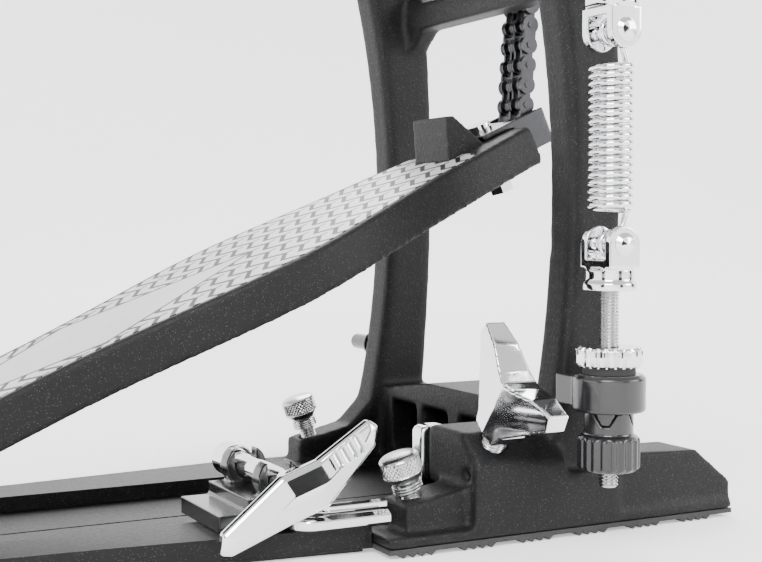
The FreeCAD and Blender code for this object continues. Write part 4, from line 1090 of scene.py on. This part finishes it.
@dataclass
class WingBolt:
    """The clamp's wing bolt: a threaded stem, a plain collar and a cast wing hollow underneath."""

    palette: Palette
    voxel: float = 0.36 * MM
    half_thick: tuple = (6 * MM, 3 * MM)
    rim: float = 1.0 * MM
    hollow_depth: float = 4.6 * MM
    reach: float = 22.5 * MM
    underside: tuple = ((7.0, 12.0), (14.0, 20.0), (22.0, 29.0))
    stem_top: float = 7.6 * MM
    core: float = 0.72
    bolt_radius: float = 4 * MM
    pitch: float = 1.25 * MM

    def build(self) -> None:
        """Build the wing from its CAD form, hollow its underside with painted shade in it and wind a thread
        on its stem.
        """
        joint = next(item for item in frame["joints"] if item["name"] == "wing_bolt_turn")
        seat, axis = Vector(joint["pos_m"]), Vector(joint["axis"])
        turn = Vector((0, 0, 1)).rotation_difference(axis).to_matrix().to_4x4()
        wing = softened_copy("wing_bolt", "wing_casting", self.voxel, 3)
        local = (mesh_points(wing) - np.array(seat)) @ np.array(turn.to_3x3())
        thick, reach, height = local.T
        under = np.array(self.underside) * MM
        flat = np.stack([np.abs(reach), height], -1)
        gap = distance_to_runs(flat, under[:-1], np.diff(under, axis=0))
        hub, tip = self.half_thick
        half = hub + (tip - hub) * flat[:, 0] / self.reach
        inside = smooth_step((half - self.rim - np.abs(thick)) / (0.5 * MM))
        ends = (smooth_step((20.6 * MM - flat[:, 0]) / (1.2 * MM))
                * smooth_step((flat[:, 0] - 7.0 * MM) / (0.8 * MM)))
        depth = inside * ends * (gap < 0.55 * MM)
        away = np.stack([-0.75 * np.sign(reach), np.full(len(reach), 0.66)], -1)
        local[:, 1:] += away * (depth * self.hollow_depth)[:, None]
        local *= np.where((height < self.stem_top)[:, None], np.array([[self.core, self.core, 1.0]]), 1.0)
        set_mesh_points(wing, local @ np.array(turn.to_3x3()).T + np.array(seat))
        # painted shade in the hollow underside of the wing
        mark_painted_hollow_shade(wing, 0.9 * depth)
        self.palette.dress(wing, Surface.CHROME)
        stands_for(wing, "wing_bolt", "wing_bolt")
        stem = finished_piece("wing_thread", placed(
            threaded_stem(self.bolt_radius, self.pitch, -15 * MM, 8 * MM, 36), turn, seat), 60)
        self.palette.dress(stem, Surface.STEEL)
        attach(stem, "wing_bolt")


@dataclass
class DrumKey:
    """The drum key: its bow has a ridge down the middle of each arm and grip ribs near one tip."""

    palette: Palette
    voxel: float = 0.42 * MM
    centre: tuple = (-93 * MM, 22 * MM)
    tilt: float = -24.0
    face: float = -68 * MM
    outline: tuple = ((-29, -5), (-26, -7), (-8, -8), (6, -9), (26, 0), (29, 5), (27, 8), (8, 5), (-4, 6),
                      (-26, 0))
    roof: float = 0.36
    roof_width: float = 6.2 * MM

    def build(self) -> None:
        """Build the key from its CAD form, raise a ridge along the bow and press the ribs into it, with
        painted shade in them.
        """
        key = softened_copy("drum_key", "drum_key_bow", self.voxel, 3)
        points = mesh_points(key)
        angle = math.radians(self.tilt)
        shift_x, shift_z = points[:, 0] - self.centre[0], points[:, 2] - self.centre[1]
        along = shift_x * math.cos(angle) - shift_z * math.sin(angle)
        across = shift_x * math.sin(angle) + shift_z * math.cos(angle)
        edge = distance_to_outline(np.stack([along, across], -1), np.array(self.outline) * MM)
        front = smooth_step((self.face + 4.5 * MM - points[:, 1]) / (4.5 * MM))
        fall = np.clip(self.roof_width - edge, 0.0, None)
        points[:, 1] += front * self.roof * fall
        ribs = np.cos((along - 12 * MM) / (2.6 * MM) * 2 * np.pi)
        patch = (smooth_step((along - 11 * MM) / (0.6 * MM)) * smooth_step((22 * MM - along) / (0.6 * MM))
                 * smooth_step((edge - 1.0 * MM) / (0.4 * MM))
                 * smooth_step((across - 0.3 * MM) / (0.6 * MM)))
        pressed = front * patch * smooth_step(0.5 - 0.9 * ribs)
        points[:, 1] += 0.55 * MM * pressed
        set_mesh_points(key, points)
        # painted shade in the pressed ribs
        mark_painted_hollow_shade(key, 0.7 * pressed)
        self.palette.dress(key, Surface.CHROME)
        stands_for(key, "drum_key", "drum_key")


@dataclass
class HexKey:
    """An L-shaped key of hexagonal bar, held in the clip."""

    palette: Palette
    size: str
    across_x: float
    height: float
    radius: float
    front: float
    tip: float
    bend: float = 5 * MM
    rear: float = -20 * MM
    lead: float = 0.4 * MM

    def build(self) -> None:
        """Carry a hexagon with worn corners along the long leg, round the bend and along the short leg."""
        arc = np.linspace(0, np.pi / 2, 13)
        bend = np.stack([self.across_x + self.bend * (1 - np.cos(arc)),
                         self.front + self.bend * (1 - np.sin(arc)), np.full(13, self.height)], -1)
        rear = np.array([[self.across_x, self.rear, self.height],
                         [self.across_x, self.rear - self.lead, self.height]])
        ends = np.array([[self.tip - self.lead, self.front, self.height],
                         [self.tip, self.front, self.height]])
        path = np.vstack([rear, bend, ends])
        turn = np.radians(np.arange(6) * 60)
        pairs = np.stack([turn - 0.09, turn + 0.09], -1).ravel()
        bar = self.radius * np.stack([np.cos(pairs), np.sin(pairs)], -1)
        piece = finished_piece(f"hex_key_{self.size}_bar",
                               carried_section(path, np.tile([0.0, 0.0, 1.0], (len(path), 1)), bar), 20)
        self.palette.dress(piece, Surface.CHROME)
        stands_for(piece, "frame", f"hex_key_{self.size}")


@dataclass
class Beater:
    """The beater's felt head: a thick disc with rounded rims and a slightly hairy skin."""

    palette: Palette
    seed: int = 7

    def build(self) -> None:
        """Build the head from its CAD form with a fuzz of small even waves."""
        felt = softened_copy("beater_felt", "felt_head", 0.8 * MM, 4)
        points = mesh_points(felt)
        normals = np.empty(len(points) * 3, np.float32)
        felt.data.vertices.foreach_get("normal", normals)
        waves = np.random.default_rng(self.seed).normal(size=(6, 3)) * 900
        fuzz = sum(np.sin(points @ wave) for wave in waves) / 6
        set_mesh_points(felt, points + normals.reshape(-1, 3) * (fuzz[:, None] - 0.7) * 0.12 * MM)
        self.palette.dress(felt, Surface.FELT)
        stands_for(felt, "beater", "beater_felt")


# ---------------------------------------------------------------- studio

@dataclass
class Studio:
    """A pale floor that sweeps up all round, soft lights and the camera."""

    radius: float = 2.6
    wall: float = 1.5
    bend: float = 0.7
    flag_distance: float = 1.9
    camera_at: Vector = field(default_factory=lambda: Vector((-0.2479, -0.4115, 0.0977)))
    heading: float = 27.5
    dip: float = 2.54
    lens: float = 63.78

    def floor(self) -> None:
        """Build the floor: a disc, a quarter-round cove and a wall, turned round +Z."""
        arc = np.linspace(0, np.pi / 2, 17)
        radii = np.concatenate([[0.001, 0.4, 1.0, self.radius - self.bend],
                                self.radius - self.bend + self.bend * np.sin(arc[1:]), [self.radius]])
        heights = np.concatenate([np.zeros(4), self.bend * (1 - np.cos(arc[1:])), [self.wall]])
        sides = 96
        turn = np.arange(sides) * 2 * np.pi / sides
        ring = around(radii[:, None], turn, heights[:, None])
        mesh = bpy.data.meshes.new("studio_floor")
        mesh.from_pydata(ring.reshape(-1, 3).tolist(), [], grid_faces(len(radii), sides, True).tolist())
        mesh.shade_smooth()
        sweep = bpy.data.objects.new("studio_floor", mesh)
        bpy.context.scene.collection.objects.link(sweep)
        paper = bpy.data.materials.new("pale studio paper")
        paper.use_nodes = True
        nodes, links = paper.node_tree.nodes, paper.node_tree.links
        shade = nodes["Principled BSDF"]
        shade.label = "pale paper"
        grain = nodes.new("ShaderNodeTexNoise")
        grain.label = "paper tooth"
        grain.location = (-500, 200)
        tint = nodes.new("ShaderNodeMix")
        tint.label = "paper colour"
        tint.location = (-250, 200)
        tint.data_type = "RGBA"
        settle(tint, {"A": (0.95, 0.95, 0.95, 1.0), "B": (0.98, 0.98, 0.98, 1.0)})
        grain.inputs["Scale"].default_value = 30.0
        settle(shade, {"Roughness": 0.9, "Emission Color": (1.0, 1.0, 1.0, 1.0), "Emission Strength": 0.5})
        links.new(grain.outputs["Fac"], tint.inputs["Factor"])
        links.new(tint.outputs["Result"], shade.inputs["Base Color"])
        mesh.materials.append(paper)

    def flag(self, name: str, bearing_degrees: float, width: float, height: float = 1.1) -> None:
        """Stand a black card on the floor, facing the object, for dark bands in the chrome.

        Args:
            name: its name.
            bearing_degrees: its bearing round +Z from +X.
            width: its width.
            height: its height.
        """
        bearing = math.radians(bearing_degrees)
        middle = np.array([math.cos(bearing), math.sin(bearing), 0.0]) * self.flag_distance
        side = np.array([-math.sin(bearing), math.cos(bearing), 0.0]) * width / 2
        top = np.array([0.0, 0.0, height])
        corners = np.array([middle - side, middle + side, middle + side + top, middle - side + top])
        mesh = bpy.data.meshes.new(name)
        mesh.from_pydata(corners.tolist(), [], [(0, 1, 2, 3)])
        card = bpy.data.objects.new(name, mesh)
        bpy.context.scene.collection.objects.link(card)
        black = bpy.data.materials.new(name + " cloth")
        black.use_nodes = True
        shade = black.node_tree.nodes["Principled BSDF"]
        shade.label = "black cloth"
        settle(shade, {"Base Color": (0.004, 0.004, 0.004, 1.0), "Roughness": 1.0})
        mesh.materials.append(black)

    def light(self, name: str, at: tuple, size: float, power: float) -> None:
        """Hang a soft square light that faces the object.

        Args:
            name: its name.
            at: its place.
            size: its width.
            power: its power in watts.
        """
        lamp = bpy.data.lights.new(name, "AREA")
        lamp.shape = "SQUARE"
        lamp.size = size
        lamp.energy = power
        holder = bpy.data.objects.new(name, lamp)
        bpy.context.scene.collection.objects.link(holder)
        holder.location = at
        holder.rotation_mode = "QUATERNION"
        holder.rotation_quaternion = (Vector(at) - Vector((-0.05, 0, 0.08))).to_track_quat("Z", "Y")

    def build(self) -> None:
        """Set up the floor, the lights, the world and the camera."""
        self.floor()
        for name, bearing, width in (("flag_left", 205.0, 0.5), ("flag_right", 283.0, 0.5),
                                     ("flag_far_right", 345.0, 0.6)):
            self.flag(name, bearing, width)
        for name, at, size, power in (("key_light", (-1.1, -1.3, 1.5), 1.1, 60),
                                      ("side_light", (1.3, -1.0, 0.8), 0.9, 20),
                                      ("back_light", (0.7, 1.5, 1.6), 1.2, 40)):
            self.light(name, at, size, power)
        world = bpy.data.worlds.new("studio")
        world.use_nodes = True
        background = world.node_tree.nodes["Background"]
        settle(background, {"Color": (0.95, 0.95, 0.95, 1.0), "Strength": 1.15})
        bpy.context.scene.world = world
        view = bpy.data.cameras.new("camera")
        view.lens = self.lens
        view.sensor_width = 36.0
        view.clip_start = 0.01
        view.clip_end = 20.0
        camera = bpy.data.objects.new("camera", view)
        bpy.context.scene.collection.objects.link(camera)
        heading, dip = math.radians(self.heading), math.radians(self.dip)
        look = Vector((math.sin(heading) * math.cos(dip), math.cos(heading) * math.cos(dip), -math.sin(dip)))
        camera.location = self.camera_at
        camera.rotation_mode = "QUATERNION"
        camera.rotation_quaternion = look.to_track_quat("-Z", "Y")
        bpy.context.scene.camera = camera


def dress_plain_nodes(palette: Palette) -> None:
    """Give every CAD node that is still shown the finish of its own slot."""
    for part in frame["record"]["subparts"]:
        node = frame["nodes"][part["node"]]
        if not node.hide_render:
            node.data.materials.clear()
            node.data.materials.append(palette.material(Surface(part["material_slot"])))


def main() -> None:
    """Build the pedal's sub-assemblies in order, and then the studio."""
    logging.basicConfig(level=logging.INFO, format="%(name)s: %(message)s")
    palette = Palette()
    parts = [
        SoftEdges(palette),
        ReturnSpring(palette),
        SpringColumn(palette),
        Spur(palette, "right", Vector((-48.7, -58, 0)) * MM, 17.8 * MM, 20.4 * MM, 3),
        Spur(palette, "left", Vector((-29.4, 60, 2.5)) * MM, 19.9 * MM, 22.9 * MM, 4),
        WingBolt(palette),
        DrumKey(palette),
        HexKey(palette, "small", -86 * MM, 14 * MM, 1.5 * MM, -59 * MM, -63 * MM),
        HexKey(palette, "large", -92.5 * MM, 10.9 * MM, 2.25 * MM, -63.5 * MM, -64.5 * MM),
        Beater(palette),
    ]
    for part in parts:
        part.build()
        LOG.info("%s built", type(part).__name__)
    dress_plain_nodes(palette)
    Studio().build()


if __name__ == "__main__":
    main()
